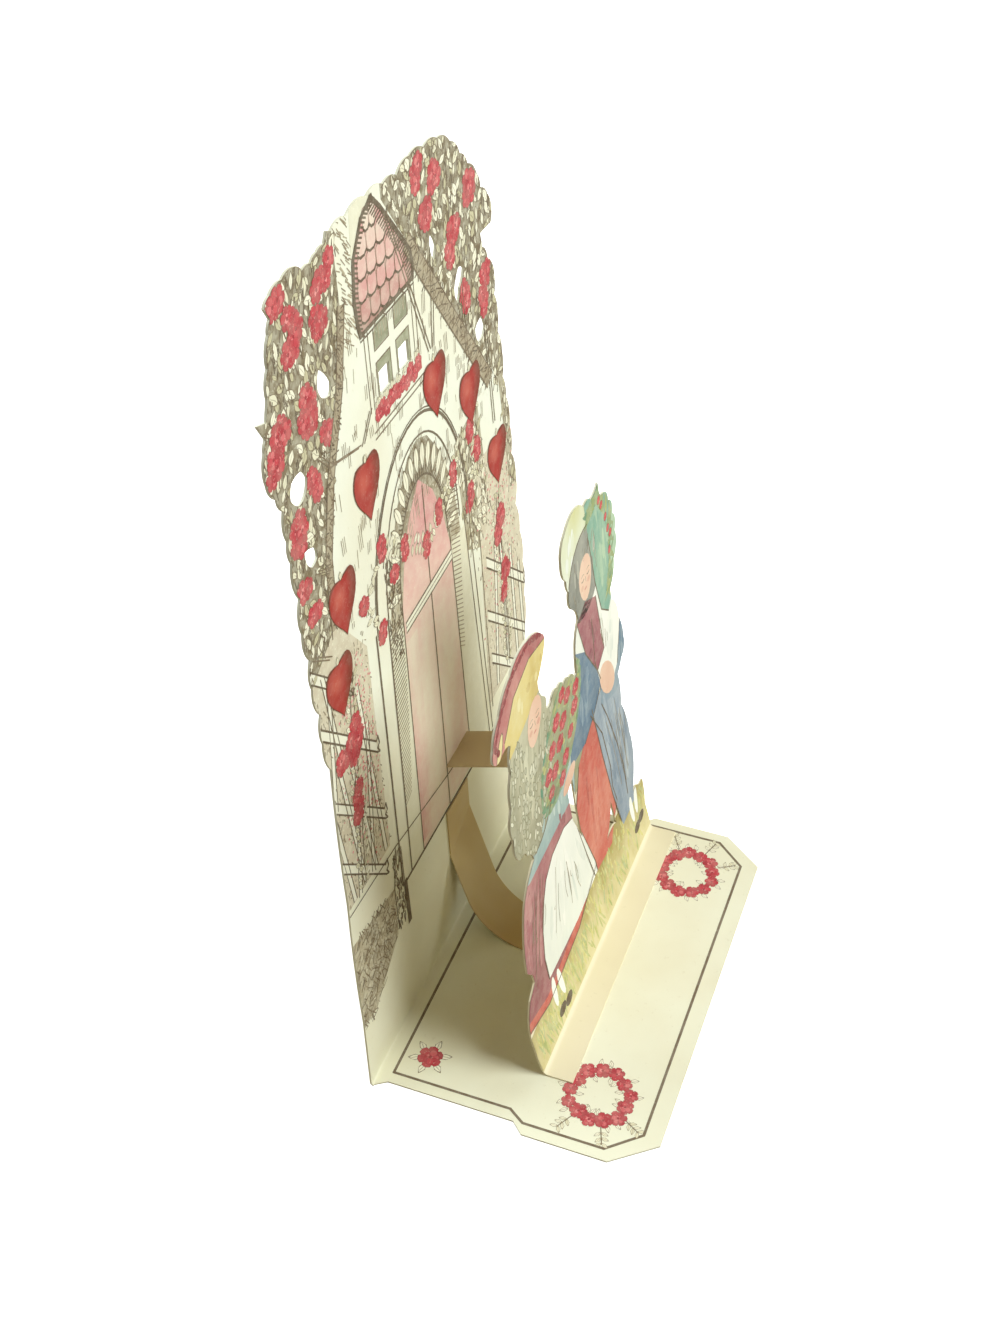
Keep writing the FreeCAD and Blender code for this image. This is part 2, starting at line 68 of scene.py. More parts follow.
BOW_END_Y = BOW_START_Y + BOW_RADIUS * (math.cos(FIGURE_LEAN) - math.cos(FOOT_LEAN))

# Ink film, in millimetres
FILM = 0.012                             # thickness of a printed film
STEP = 0.008                             # rise from one layer of ink to the next
HEIGHTS = 97                             # heights within a layer, so that neighbours never coincide
HEIGHT_JUMP = 37                         # from the height of one shape to that of the next
PANEL_LIFT = 0.02                        # from the board to the lowest ink
FIGURE_LIFT = 0.08                       # the same on the figure sheet, clear of its bowed facets
EDGE_HALVINGS = 6                        # how closely a shape is drawn in at the edge of the paper
OVERLAP = 0.6                            # how far a stroke passes its ends, in widths

# Finish and light
BARE_PAPER = "#f0efd8"                   # what shows through worn ink
INK_ROUGHNESS = 0.62
PAPER_ROUGHNESS = 0.78
TOOTH_DEPTH = 0.00006                    # relief of the paper's tooth, in metres
STAGE_MIDDLE = (0, 0.01, 0.08)           # where the lamps aim, in metres
LAMP_TINT = (0.93, 0.99, 1.0)
ROOM_TINT = (1, 0.8, 0.56)               # the room as it lights the card
BACKDROP_TINT = (1, 0.99, 0.965)         # the room as the camera sees it
FLOOR_TINT = (0.46, 0.41, 0.33)          # the floor as it lights the card
FLOOR_GLOW = 0.82                        # how far the camera sees the floor as white


def rgb(code):
    """Linear colour of a web colour code."""
    parts = [int(code[i:i + 2], 16) / 255 for i in (1, 3, 5)]
    return tuple(c / 12.92 if c <= 0.04045 else ((c + 0.055) / 1.055) ** 2.4 for c in parts)


# The three printed sheets

def place_on_panel(across, up, lift):
    """Point on the front of the back panel, which leans back from the fold."""
    lift += PANEL_LIFT
    y = FOLD_Y + up * math.sin(PANEL_LEAN) - lift * math.cos(PANEL_LEAN)
    z = BOARD + up * math.cos(PANEL_LEAN) + lift * math.sin(PANEL_LEAN)
    return Vector((across, y, z)) * MM


def place_on_base(across, up, lift):
    """Point on the top of the base; up is negative towards the front edge."""
    return Vector((across, FOLD_Y + up, BOARD + PANEL_LIFT + lift)) * MM


def place_on_figure(across, up, lift):
    """Point on the front of the figure sheet, which bows up from its foot."""
    lift += FIGURE_LIFT
    if up >= BOW_END_Z:
        lean = FIGURE_LEAN
        y = BOW_END_Y + (up - BOW_END_Z) * math.tan(lean)
    else:
        rise = max(up, BOW_START_Z) - BOW_START_Z
        lean = math.asin(math.sin(FOOT_LEAN) - rise / BOW_RADIUS)
        y = BOW_START_Y + BOW_RADIUS * (math.cos(lean) - math.cos(FOOT_LEAN))
    return Vector((across, y - lift * math.cos(lean), BOARD + up + lift * math.sin(lean))) * MM


def panel_flat(co):
    """Place on the panel, in millimetres, of a point of the CAD mesh."""
    along = Vector((math.sin(PANEL_LEAN), math.cos(PANEL_LEAN)))
    return Vector((co.x / MM, Vector((co.y / MM - FOLD_Y, co.z / MM - BOARD)).dot(along), 0))


def base_flat(co):
    """Place on the base of a point of the CAD mesh."""
    return Vector((co.x / MM, co.y / MM - FOLD_Y, 0))


def figure_flat(co):
    """Place on the figure sheet of a point of the CAD mesh."""
    return Vector((co.x / MM, co.z / MM - BOARD, 0))


class Sheet:
    """One printed face of the card, laid flat: the CAD node's own front facets, in millimetres."""

    def __init__(self, node, place, flatten, belongs):
        self.place = place
        self.skin = bmesh.new()
        self.skin.from_mesh(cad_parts[node].data)
        bmesh.ops.remove_doubles(self.skin, verts=self.skin.verts, dist=1e-7)
        self.skin.normal_update()
        other = [f for f in self.skin.faces if not belongs(f.normal, f.calc_center_median())]
        bmesh.ops.delete(self.skin, geom=other, context="FACES")
        for vert in self.skin.verts:
            vert.co = flatten(vert.co)
        self.skin.verts.layers.float.new("tone")
        self.skin.loops.layers.uv.new("Shape")
        self.skin.normal_update()
        self.tree = BVHTree.FromBMesh(self.skin)

    def holds(self, x, y):
        """Whether the sheet has paper at this place."""
        return self.tree.ray_cast(Vector((x, y, 1)), Vector((0, 0, -1)), 2)[0] is not None


class Ink:
    """The shapes that one ink prints on a sheet, drawn flat in millimetres and then laid on it."""

    def __init__(self, sheet):
        self.sheet = sheet
        self.bm = bmesh.new()
        self.tone = self.bm.verts.layers.float.new("tone")
        self.shape_uv = self.bm.loops.layers.uv.new("Shape")
        self.turn = 0

    def rise(self, level):
        """Height of the next shape in this layer, always below the layer above."""
        self.turn = (self.turn + HEIGHT_JUMP) % HEIGHTS
        return level * STEP + self.turn * STEP / (HEIGHTS + 3)

    def keep_on_paper(self, verts, middle):
        """Draws in the points of a shape that lie beyond the cut edge of the paper."""
        for vert in verts:
            if self.sheet.holds(vert.co.x, vert.co.y):
                continue
            inner, outer = 0.0, 1.0
            for _ in range(EDGE_HALVINGS):
                half = (inner + outer) / 2
                spot = middle.lerp(vert.co, half)
                inner, outer = (half, outer) if self.sheet.holds(spot.x, spot.y) else (inner, half)
            vert.co = middle.lerp(vert.co, inner)

    def stamp(self, x, y, wide, tall, turn=0.0, tone=0.5, level=0, sides=8, form=None):
        """A closed round shape; form reshapes its points within a circle of radius 1."""
        if not self.sheet.holds(x, y):
            return
        verts = bmesh.ops.create_circle(self.bm, cap_ends=True, segments=sides, radius=1)["verts"]
        face = verts[0].link_faces[0]
        for loop in face.loops:
            loop[self.shape_uv].uv = loop.vert.co.xy
        for vert in verts:
            vert[self.tone] = tone
            if form:
                vert.co.xy = form(vert.co.x, vert.co.y)
        height = self.rise(level)
        matrix = (Matrix.Translation((x, y, height)) @ Matrix.Rotation(math.radians(turn), 4, "Z")
                  @ Matrix.Diagonal((wide / 2, tall / 2, 1, 1)))
        bmesh.ops.transform(self.bm, matrix=matrix, verts=verts)
        self.keep_on_paper(verts, Vector((x, y, height)))

    def stroke(self, points, width, tone=0.5, level=0, closed=False):
        """A drawn line of even width along the points."""
        points = [Vector(p) for p in points]
        if closed:
            points.append(points[0])
        for start, end in zip(points, points[1:]):
            run = end - start
            if run.length < 1e-6 or not self.sheet.holds(*((start + end) / 2)):
                continue
            verts = bmesh.ops.create_grid(self.bm, x_segments=1, y_segments=1, size=0.5)["verts"]
            height = self.rise(level)
            middle = ((start + end) / 2).to_3d() + Vector((0, 0, height))
            matrix = (Matrix.Translation(middle)
                      @ Matrix.Rotation(math.atan2(run.y, run.x), 4, "Z")
                      @ Matrix.Diagonal((run.length + width * OVERLAP, width, 1, 1)))
            bmesh.ops.transform(self.bm, matrix=matrix, verts=verts)
            for vert in verts:
                vert[self.tone] = tone
            self.keep_on_paper(verts, middle)

    def field(self, corners, tone=0.5, level=0, tones=None):
        """A convex field of colour, cut from the sheet's own face; tones grades it, bottom to top."""
        part = self.sheet.skin.copy()
        middle = sum((Vector(c) for c in corners), Vector((0, 0))) / len(corners)
        for start, end in zip(corners, corners[1:] + corners[:1]):
            start, end = Vector(start), Vector(end)
            out = Vector((end.y - start.y, start.x - end.x))
            if out.dot(middle - start) > 0:
                out.negate()
            if out.length < 1e-9:
                continue
            bmesh.ops.bisect_plane(part, geom=part.verts[:] + part.edges[:] + part.faces[:],
                                   plane_co=start.to_3d(), plane_no=out.to_3d().normalized(),
                                   clear_outer=True)
        if part.faces:
            height = self.rise(level)
            key = part.verts.layers.float["tone"]
            low = min(c[1] for c in corners)
            span = max(c[1] for c in corners) - low
            for vert in part.verts:
                vert.co.z = height
                share = min(max((vert.co.y - low) / span, 0), 1)
                vert[key] = tone if tones is None else tones[0] + (tones[1] - tones[0]) * share
            mesh = bpy.data.meshes.new("cut")
            part.to_mesh(mesh)
            self.bm.from_mesh(mesh)
            bpy.data.meshes.remove(mesh)
        part.free()

    def lay(self, name, material, slot):
        """Lays the drawing on its sheet as one closed film of ink."""
        for vert in self.bm.verts:
            vert.co = self.sheet.place(*vert.co)
        flipped = [f for f in self.bm.faces if f.normal.z < 0]
        bmesh.ops.reverse_faces(self.bm, faces=flipped)
        bmesh.ops.triangulate(self.bm, faces=self.bm.faces)
        for face in self.bm.faces:
            face.smooth = False
        mesh = bpy.data.meshes.new(name)
        self.bm.to_mesh(mesh)
        self.bm.free()
        piece = bpy.data.objects.new(name, mesh)
        bpy.context.scene.collection.objects.link(piece)
        mesh.materials.append(material)
        film = piece.modifiers.new("Film", "SOLIDIFY")
        film.thickness = FILM * MM
        film.offset = -1
        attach(piece, "root")


def pick(drawn, names):
    """The inks of these names."""
    return [drawn[name] for name in names.split()]


def lay_all(sheet, drawn, prefix, finishes, slot):
    """Lays every ink of a sheet as a piece of its own."""
    for name, ink in drawn.items():
        ink.lay(prefix + name, bpy.data.materials["ink " + finishes.get(name, name)], slot)
    sheet.skin.free()


# Outlines of stamps, as functions on a circle of radius 1

def leaf_form(x, y):
    """Pointed at the tip and slim at the stalk."""
    return x * (1 - 0.62 * max(y, 0)) * (1 - 0.35 * max(-y, 0)), y


def petal_form(x, y):
    """Broad at the rim and narrow at the heart of the flower."""
    return x * (0.78 + 0.25 * y), y


def heart_form(x, y):
    """A full heart with a shallow notch, point down."""
    turn = math.atan2(x, y)
    tall = 13 * math.cos(turn) - 5 * math.cos(2 * turn) - 2 * math.cos(3 * turn) - math.cos(4 * turn)
    if abs(turn) < 0.9:
        tall += (11.9 - tall) * 0.78
    return math.copysign(abs(math.sin(turn)) ** 2.3, x), (tall + 2.5) / 14.5


def drop_form(x, y):
    """Pointed at the top, such as a petal of the door's fringe."""
    return x * (1 - 0.8 * max(y, 0)), y


def tile_form(x, y):
    """Nearly square, with rounded corners."""
    return math.copysign(abs(x) ** 0.45, x), math.copysign(abs(y) ** 0.6, y)


def inside(polygon, x, y):
    """Whether the polygon holds the point."""
    odd = False
    for (x0, y0), (x1, y1) in zip(polygon, polygon[1:] + polygon[:1]):
        if (y0 > y) != (y1 > y) and x < x0 + (y - y0) / (y1 - y0) * (x1 - x0):
            odd = not odd
    return odd


def across_at(points, y):
    """Where a run of points crosses the height y."""
    for (x0, y0), (x1, y1) in zip(points, points[1:]):
        if min(y0, y1) <= y <= max(y0, y1) and y0 != y1:
            return x0 + (x1 - x0) * (y - y0) / (y1 - y0)
    return points[-1][0]


def arc(cx, cy, rx, ry, start, end, count):
    """Points along an ellipse between two angles in degrees."""
    angles = [math.radians(start + (end - start) * i / count) for i in range(count + 1)]
    return [(cx + rx * math.cos(a), cy + ry * math.sin(a)) for a in angles]


def oval(cx, cy, rx, ry, turn=0.0, count=24):
    """Corners of an ellipse that is turned by some degrees."""
    cos, sin = math.cos(math.radians(turn)), math.sin(math.radians(turn))
    level = arc(0, 0, rx, ry, 0, 360, count)[1:]
    return [(cx + x * cos - y * sin, cy + x * sin + y * cos) for x, y in level]


def along(points, spacing):
    """Places at even spacing on a run of points, each with its heading in degrees."""
    places, rest = [], spacing / 2
    for start, end in zip(points, points[1:]):
        run = Vector(end) - Vector(start)
        while rest < run.length:
            spot = Vector(start) + run * rest / run.length
            places.append((spot.x, spot.y, math.degrees(math.atan2(run.y, run.x))))
            rest += spacing
        rest -= run.length
    return places


# Settings that a user may change

class CardPrintSettings(bpy.types.PropertyGroup):
    """Sizes and colours of the print."""
    line_width: bpy.props.FloatProperty(
        name="Line width", description="Width of an engraved line, in millimetres", default=0.34)
    leaf_length: bpy.props.FloatProperty(
        name="Leaf length", description="Length of a climbing leaf, in millimetres", default=3.6)
    rose_width: bpy.props.FloatProperty(
        name="Rose width", description="Width of a rose, in millimetres", default=5.5)
    heart_width: bpy.props.FloatProperty(
        name="Heart width", description="Width of a hanging heart, in millimetres", default=11.8)
    heart_height: bpy.props.FloatProperty(
        name="Heart height", description="Height of a hanging heart, in millimetres", default=14.0)
    seed: bpy.props.IntProperty(
        name="Seed", description="Start of the random scatter of leaves", default=11)
    board_colour: bpy.props.FloatVectorProperty(
        name="Board", description="Colour of the card board", subtype="COLOR",
        default=rgb("#f1f0d6"))
    line_colour: bpy.props.FloatVectorProperty(
        name="Lines", description="Colour of the engraved lines", subtype="COLOR",
        default=rgb("#82715a"))
    leaf_colour: bpy.props.FloatVectorProperty(
        name="Leaves", description="Colour of the printed leaves", subtype="COLOR",
        default=rgb("#cfc9a4"))
    rose_colour: bpy.props.FloatVectorProperty(
        name="Roses", description="Colour of the roses", subtype="COLOR",
        default=rgb("#c8474f"))
    heart_colour: bpy.props.FloatVectorProperty(
        name="Hearts", description="Colour of the hearts", subtype="COLOR",
        default=rgb("#a9352f"))
    # The strips' tan is darker than the board's cream and stands partly for painted shade in the pocket
    # between the panel and the figure sheet.
    strip_shade_colour: bpy.props.FloatVectorProperty(
        name="Strips", description="Colour of the paper strips", subtype="COLOR",
        default=rgb("#c8ac74"))


class CardStageSettings(bpy.types.PropertyGroup):
    """Camera, lamps and floor."""
    camera_place: bpy.props.FloatVectorProperty(
        name="Camera place", description="Where the camera stands", subtype="TRANSLATION",
        unit="LENGTH", default=(-0.256825, -0.07896, 0.324169))
    camera_turn: bpy.props.FloatVectorProperty(
        name="Camera turn", description="How the camera is turned", subtype="EULER",
        unit="ROTATION", default=tuple(math.radians(a) for a in (49.6563, 0.6192, -69.3328)))
    lens: bpy.props.FloatProperty(
        name="Lens", description="Focal length in millimetres", default=45.01)
    key_power: bpy.props.FloatProperty(
        name="Window light", description="Power of the large soft lamp, in watts", default=12.6)
    fill_power: bpy.props.FloatProperty(
        name="Fill light", description="Power of the second soft lamp, in watts", default=2.4)
    back_power: bpy.props.FloatProperty(
        name="Back light", description="Power of the soft lamp behind the card, in watts", default=7.0)
    sky: bpy.props.FloatProperty(
        name="Room light", description="Strength of the even light of the room", default=0.18)
    floor_colour: bpy.props.FloatVectorProperty(
        name="Floor", description="Colour of the plain floor", subtype="COLOR",
        default=rgb("#f4f3ef"))


# Materials

def node_group(name, inputs, outputs):
    """An empty shader group with typed sockets and default values."""
    group = bpy.data.node_groups.new(name, "ShaderNodeTree")
    for label, kind, value in inputs:
        group.interface.new_socket(label, in_out="INPUT", socket_type=kind).default_value = value
    for label, kind in outputs:
        group.interface.new_socket(label, in_out="OUTPUT", socket_type=kind)
    return group, group.nodes.new("NodeGroupInput"), group.nodes.new("NodeGroupOutput")


def math_node(tree, operation, first, second=None, third=None):
    """A math node; numbers are set on its sockets and sockets are linked to them."""
    node = tree.nodes.new("ShaderNodeMath")
    node.operation = operation
    for slot, value in enumerate((first, second, third)):
        if value is None:
            continue
        if isinstance(value, (int, float)):
            node.inputs[slot].default_value = value
        else:
            tree.links.new(value, node.inputs[slot])
    return node.outputs[0]


def noise(tree, vector, scale, detail=2.0, stretch=(1, 1, 1), turn=0.0):
    """Value of a noise texture in Object coordinates."""
    mapping = tree.nodes.new("ShaderNodeMapping")
    mapping.inputs["Scale"].default_value = stretch
    mapping.inputs["Rotation"].default_value = (0, turn, 0)
    texture = tree.nodes.new("ShaderNodeTexNoise")
    texture.inputs["Scale"].default_value = scale
    texture.inputs["Detail"].default_value = detail
    tree.links.new(vector, mapping.inputs["Vector"])
    tree.links.new(mapping.outputs[0], texture.inputs["Vector"])
    return texture.outputs["Fac"]


def blend(tree, share, first, second):
    """A colour mix whose share, first and second are sockets or plain values."""
    node = tree.nodes.new("ShaderNodeMix")
    node.data_type = "RGBA"
    for socket, value in ((node.inputs[0], share), (node.inputs[6], first), (node.inputs[7], second)):
        if isinstance(value, bpy.types.NodeSocket):
            tree.links.new(value, socket)
        elif isinstance(value, (int, float)):
            socket.default_value = value
        else:
            socket.default_value = (*value, 1)
    return node.outputs[2]


def grade(tree, value, low, high):
    """Smooth share of the value between two limits."""
    node = tree.nodes.new("ShaderNodeMapRange")
    node.interpolation_type = "SMOOTHSTEP"
    node.inputs["From Min"].default_value = low
    node.inputs["From Max"].default_value = high
    tree.links.new(value, node.inputs["Value"])
    return node.outputs[0]


def paper_group():
    """Paper tooth, slow stains and fine flecks of uncoated board, with painted light that makes it paler and
    greener higher up.
    """
    group, given, out = node_group(
        "Paper", [("Colour", "NodeSocketColor", (1, 1, 1, 1)), ("Stain", "NodeSocketFloat", 0.5)],
        [("Colour", "NodeSocketColor"), ("Tooth", "NodeSocketFloat")])
    place = group.nodes.new("ShaderNodeTexCoord").outputs["Object"]
    slow = grade(group, noise(group, place, 28, 4), 0.35, 0.75)
    flecks = grade(group, noise(group, place, 900, 2), 0.66, 0.78)
    tooth = noise(group, place, 2600, 3)
    share = math_node(group, "MULTIPLY", slow, given.outputs["Stain"])
    parts = group.nodes.new("ShaderNodeSeparateXYZ")
    group.links.new(place, parts.inputs[0])
    # Painted light: paler and greener towards the top of the card, standing in for the brighter light up
    # there.
    height = math_node(group, "MULTIPLY", grade(group, parts.outputs["Z"], 0.02, 0.13), 0.85)
    painted_top_light = blend(group, height, given.outputs["Colour"], rgb("#eff2e2"))
    stained = blend(group, share, painted_top_light, rgb("#dccfa6"))
    flecked = blend(group, math_node(group, "MULTIPLY", flecks, 0.18), stained, rgb("#c8bb92"))
    group.links.new(flecked, out.inputs["Colour"])
    group.links.new(tooth, out.inputs["Tooth"])
    return group


def ink_group():
    """Uneven cover of a letterpress ink: mottle, worn specks and the dots of its plate."""
    group, given, out = node_group(
        "Ink cover",
        [("Colour", "NodeSocketColor", (1, 1, 1, 1)), ("Paper", "NodeSocketColor", (1, 1, 1, 1)),
         ("Mottle", "NodeSocketFloat", 0.3), ("Wear", "NodeSocketFloat", 0.2)],
        [("Colour", "NodeSocketColor"), ("Tooth", "NodeSocketFloat")])
    place = group.nodes.new("ShaderNodeTexCoord").outputs["Object"]
    cloud = grade(group, noise(group, place, 420, 4), 0.3, 0.72)
    specks = grade(group, noise(group, place, 1900, 2), 0.58, 0.74)
    tooth = noise(group, place, 2600, 3)
    mottled = blend(group, math_node(group, "MULTIPLY", cloud, given.outputs["Mottle"]),
                    given.outputs["Colour"], given.outputs["Paper"])
    worn = blend(group, math_node(group, "MULTIPLY", specks, given.outputs["Wear"]),
                 mottled, given.outputs["Paper"])
    group.links.new(worn, out.inputs["Colour"])
    group.links.new(tooth, out.inputs["Tooth"])
    return group


def group_node(tree, name, **values):
    """Places a shared group; values are colours, numbers or sockets by input name."""
    node = tree.nodes.new("ShaderNodeGroup")
    node.node_tree = bpy.data.node_groups[name]
    for label, value in values.items():
        if isinstance(value, bpy.types.NodeSocket):
            tree.links.new(value, node.inputs[label])
        elif isinstance(value, (int, float)):
            node.inputs[label].default_value = value
        else:
            node.inputs[label].default_value = (*value, 1)
    return node


def finish_surface(material, colour, tooth, roughness, bump):
    """Principled surface with the paper's tooth in its normal."""
    tree = material.node_tree
    surface = tree.nodes["Principled BSDF"]
    surface.inputs["Roughness"].default_value = roughness
    surface.inputs["Specular IOR Level"].default_value = 0.25
    tree.links.new(colour, surface.inputs["Base Color"])
    relief = tree.nodes.new("ShaderNodeBump")
    relief.inputs["Strength"].default_value = bump
    relief.inputs["Distance"].default_value = TOOTH_DEPTH
    tree.links.new(tooth, relief.inputs["Height"])
    tree.links.new(relief.outputs[0], surface.inputs["Normal"])
    return material


def new_material(name):
    """A material with a plain Principled surface."""
    material = bpy.data.materials.new(name)
    material.use_nodes = True
    return material


def plain(colour):
    """Linear colour of a web colour code, or of a setting."""
    return rgb(colour) if isinstance(colour, str) else tuple(colour)


def ink_material(name, colour, dark, light, mottle=0.22, wear=0.25, edge=0.0, vein=0.0, gloss=0.0,
                 wash=0.0):
    """One ink. The tone attribute runs from dark through colour to light; edge and vein draw the
    shape's outline and midrib from its own UV map, and gloss a soft highlight like an airbrush's."""
    material = new_material(name)
    tree = material.node_tree
    tone = tree.nodes.new("ShaderNodeAttribute")
    tone.attribute_name = "tone"
    ramp = tree.nodes.new("ShaderNodeValToRGB")
    stops = ramp.color_ramp.elements
    stops[0].color = (*rgb(dark), 1)
    stops[1].color = (*rgb(light), 1)
    middle = stops.new(0.5)
    middle.color = (*plain(colour), 1)
    level = tone.outputs["Fac"]
    if wash:
        place = tree.nodes.new("ShaderNodeTexCoord").outputs["Object"]
        folds = noise(tree, place, 130, 3, stretch=(1.0, 1.0, 0.28), turn=0.25)
        level = math_node(tree, "ADD", level, math_node(tree, "MULTIPLY_ADD", folds, 2 * wash, -wash))
    tree.links.new(level, ramp.inputs[0])
    shade = ramp.outputs[0]
    uv = tree.nodes.new("ShaderNodeUVMap")
    uv.uv_map = "Shape"
    split = tree.nodes.new("ShaderNodeSeparateXYZ")
    tree.links.new(uv.outputs[0], split.inputs[0])
    x, y = split.outputs["X"], split.outputs["Y"]
    radius = math_node(tree, "SQRT", math_node(tree, "ADD", math_node(tree, "MULTIPLY", x, x),
                                              math_node(tree, "MULTIPLY", y, y)))
    if gloss:
        left = math_node(tree, "ADD", x, 0.30)
        high = math_node(tree, "SUBTRACT", y, 0.28)
        far = math_node(tree, "SQRT", math_node(tree, "ADD", math_node(tree, "MULTIPLY", left, left),
                                               math_node(tree, "MULTIPLY", high, high)))
        glow = math_node(tree, "SUBTRACT", 1.0, grade(tree, far, 0.05, 0.75))
        shade = blend(tree, math_node(tree, "MULTIPLY", glow, gloss), shade, rgb(light))
        slant = math_node(tree, "SUBTRACT", x, math_node(tree, "MULTIPLY", y, 0.25))
        right = grade(tree, slant, 0.15, 0.95)
        shade = blend(tree, math_node(tree, "MULTIPLY", right, 0.85), shade, rgb(dark))
    if vein:
        rib = math_node(tree, "SUBTRACT", 1.0, grade(tree, math_node(tree, "ABSOLUTE", x), 0.04, 0.12))
        shade = blend(tree, math_node(tree, "MULTIPLY", rib, vein), shade, rgb(dark))
    if edge:
        rim = grade(tree, radius, 1 - edge * 1.3, 1 - edge * 0.6)
        shade = blend(tree, rim, shade, rgb(dark))
    cover = group_node(tree, "Ink cover", Colour=shade, Paper=rgb(BARE_PAPER), Mottle=mottle, Wear=wear)
    return finish_surface(material, *cover.outputs[:2], INK_ROUGHNESS, 0.15)


def paper_material(name, colour, stain):
    """Plain uncoated paper or board, with the Paper group's stains, flecks and painted light towards the top.
    """
    material = new_material(name)
    paper = group_node(material.node_tree, "Paper", Colour=colour, Stain=stain)
    return finish_surface(material, *paper.outputs[:2], PAPER_ROUGHNESS, 0.3)


# Washes of the figure sheet as (name, colour, dark, light).
FIGURE_INKS = (
    ("grass", "#b0a05c", "#877438", "#d8cc98"),
    ("skirt", "#a9696c", "#7d4347", "#cf9c95"),
    ("linen", "#ebede0", "#c2ccc2", "#f7f6ea"),
    ("sleeve", "#adc0b9", "#6c8f92", "#dde6d8"),
    ("shawl", "#b2ae90", "#86836a", "#d2cfb2"),
    ("posy", "#9c9c78", "#6b7253", "#bebc92"),
    ("skin", "#e2b79c", "#cb7f74", "#efd0b6"),
    ("bonnet", "#decb82", "#bb9d58", "#ece2b0"),
    ("rim", "#b8706d", "#8d4547", "#d69d90"),
    ("red", "#cb6656", "#a04437", "#dd9078"),
    ("trousers", "#8998a6", "#64788a", "#b2bdc2"),
    ("coat", "#71889a", "#506a80", "#9fb0b6"),
    ("scarf", "#a2646a", "#78414a", "#c4938e"),
    ("hair", "#95958a", "#6b6d64", "#c0bfae"),
    ("hat", "#dfe3c4", "#cfcc84", "#eef1ea"),
    ("plume", "#88b09a", "#588873", "#b9d0ae"),
)


# Motifs

def draw_rose(petals, x, y, width, rng, level):
    """A full-blown rose: an outer round of petals, an inner round and a curled heart."""
    for ring, count, share, tone in ((0.30, 6, 0.52, 0.32), (0.20, 5, 0.40, 0.58), (0.08, 3, 0.30, 0.85)):
        spin = rng.uniform(0, 360)
        for i in range(count):
            angle = math.radians(spin + 360 * i / count)
            petals.stamp(x + ring * width * math.cos(angle), y + ring * width * math.sin(angle),
                         width * share, width * share * 0.86, math.degrees(angle) - 90,
                         tone + rng.uniform(-0.14, 0.14), level, 8, petal_form)
    petals.stamp(x, y, width * 0.16, width * 0.16, 0, 0.05, level + 1, 6)


def draw_leaf(leaves, x, y, length, turn, tone, level, broad=0.5):
    """One leaf with its tip in the direction of its turn."""
    leaves.stamp(x, y, length * broad, length, turn, tone, level, 8, leaf_form)


def draw_sprig(leaves, lines, x, y, turn, length, rng, width):
    """A stalk with three pairs of leaves and one at its tip."""
    heading = Vector((-math.sin(math.radians(turn)), math.cos(math.radians(turn))))
    start = Vector((x, y))
    lines.stroke([start, start + heading * length], width, 0.4, 1)
    for share in (0.35, 0.65, 0.95):
        spot = start + heading * length * share
        for side in (-1, 1):
            lean = turn + side * rng.uniform(45, 65)
            out = Vector((-math.sin(math.radians(lean)), math.cos(math.radians(lean))))
            centre = spot + out * length * 0.2
            draw_leaf(leaves, centre.x, centre.y, length * 0.42, lean, rng.uniform(0.4, 0.9), 1)


# Back panel, in layers from 0, the engraved ground, to 13, the hearts

PANEL_FINISHES = {
    "engraved_ground": "ground", "leaves": "leaf", "roses": "rose", "lines": "line", "roof_tiles": "tile",
    "window_glass": "glass", "hearts": "heart", "door": "door", "door_arch": "stipple", "fences": "pale",
    "garden_haze": "haze", "pink_dots": "blush",
}
HEART_PLACES = ((-21.2, 145.0), (-36.2, 128.4), (-41.6, 111.9), (12.9, 148.1), (30.6, 136.1),
                (44.0, 112.3))
WALL = ((-23.0, 186.0), (3.5, 186.0), (41.0, 131.0), (30.0, 130.0), (30.0, 60.0), (-30.0, 60.0),
        (-38.5, 147.0))
DOOR_AXIS = 1.0
DOORSTEP = 40.0
# Edges of the hood, from its feet to its tip, as (X, up from the fold).
HOOD_LEFT = ((-17.6, 175.4), (-18.4, 178.0), (-18.8, 183.0), (-17.6, 190.3), (-13.0, 196.2), (-8.2, 198.4))
HOOD_RIGHT = ((6.6, 175.4), (7.2, 178.0), (6.4, 181.6), (0.0, 189.5), (-4.6, 195.0), (-8.2, 198.4))
RAKE_BOARDS = (
    ((4.8, 184.0), (22.0, 160.6)), ((22.0, 160.6), (42.0, 134.0)), ((-23.6, 185.0), (-27.8, 170.6)),
    ((-27.8, 170.6), (-35.0, 156.0)), ((-35.0, 156.0), (-39.6, 141.0)), ((-39.6, 141.0), (-40.6, 126.0)),
)
STRINGS = (
    ((-38.5, 163.0), (-34.0, 158.5), (-22.5, 155.5)), ((-44.5, 142.0), (-38.8, 139.0)),
    ((-50.0, 126.0), (-43.8, 121.5)), ((-3.0, 193.0), (11.6, 157.5)), ((16.0, 178.0), (13.4, 157.5)),
    ((29.2, 165.0), (30.4, 146.0)), ((41.0, 149.0), (43.2, 122.5)), ((-16.6, 160.0), (-21.0, 155.0)),
)
# Pickets as (X and height of the foot, X and height of the tip).
PICKETS = (
    (-47.5, 58, -51.0, 84), (-42.0, 58, -46.5, 94), (-45.0, 57, -40.0, 88), (-36.5, 57, -41.5, 92),
    (-38.0, 58, -33.0, 96), (-31.5, 58, -35.5, 108), (-50.0, 86, -46.0, 118), (-45.0, 94, -48.0, 120),
    (37.0, 50, 40.0, 92), (44.5, 50, 43.0, 98), (51.0, 50, 49.0, 84), (56.0, 50, 54.0, 76),
)
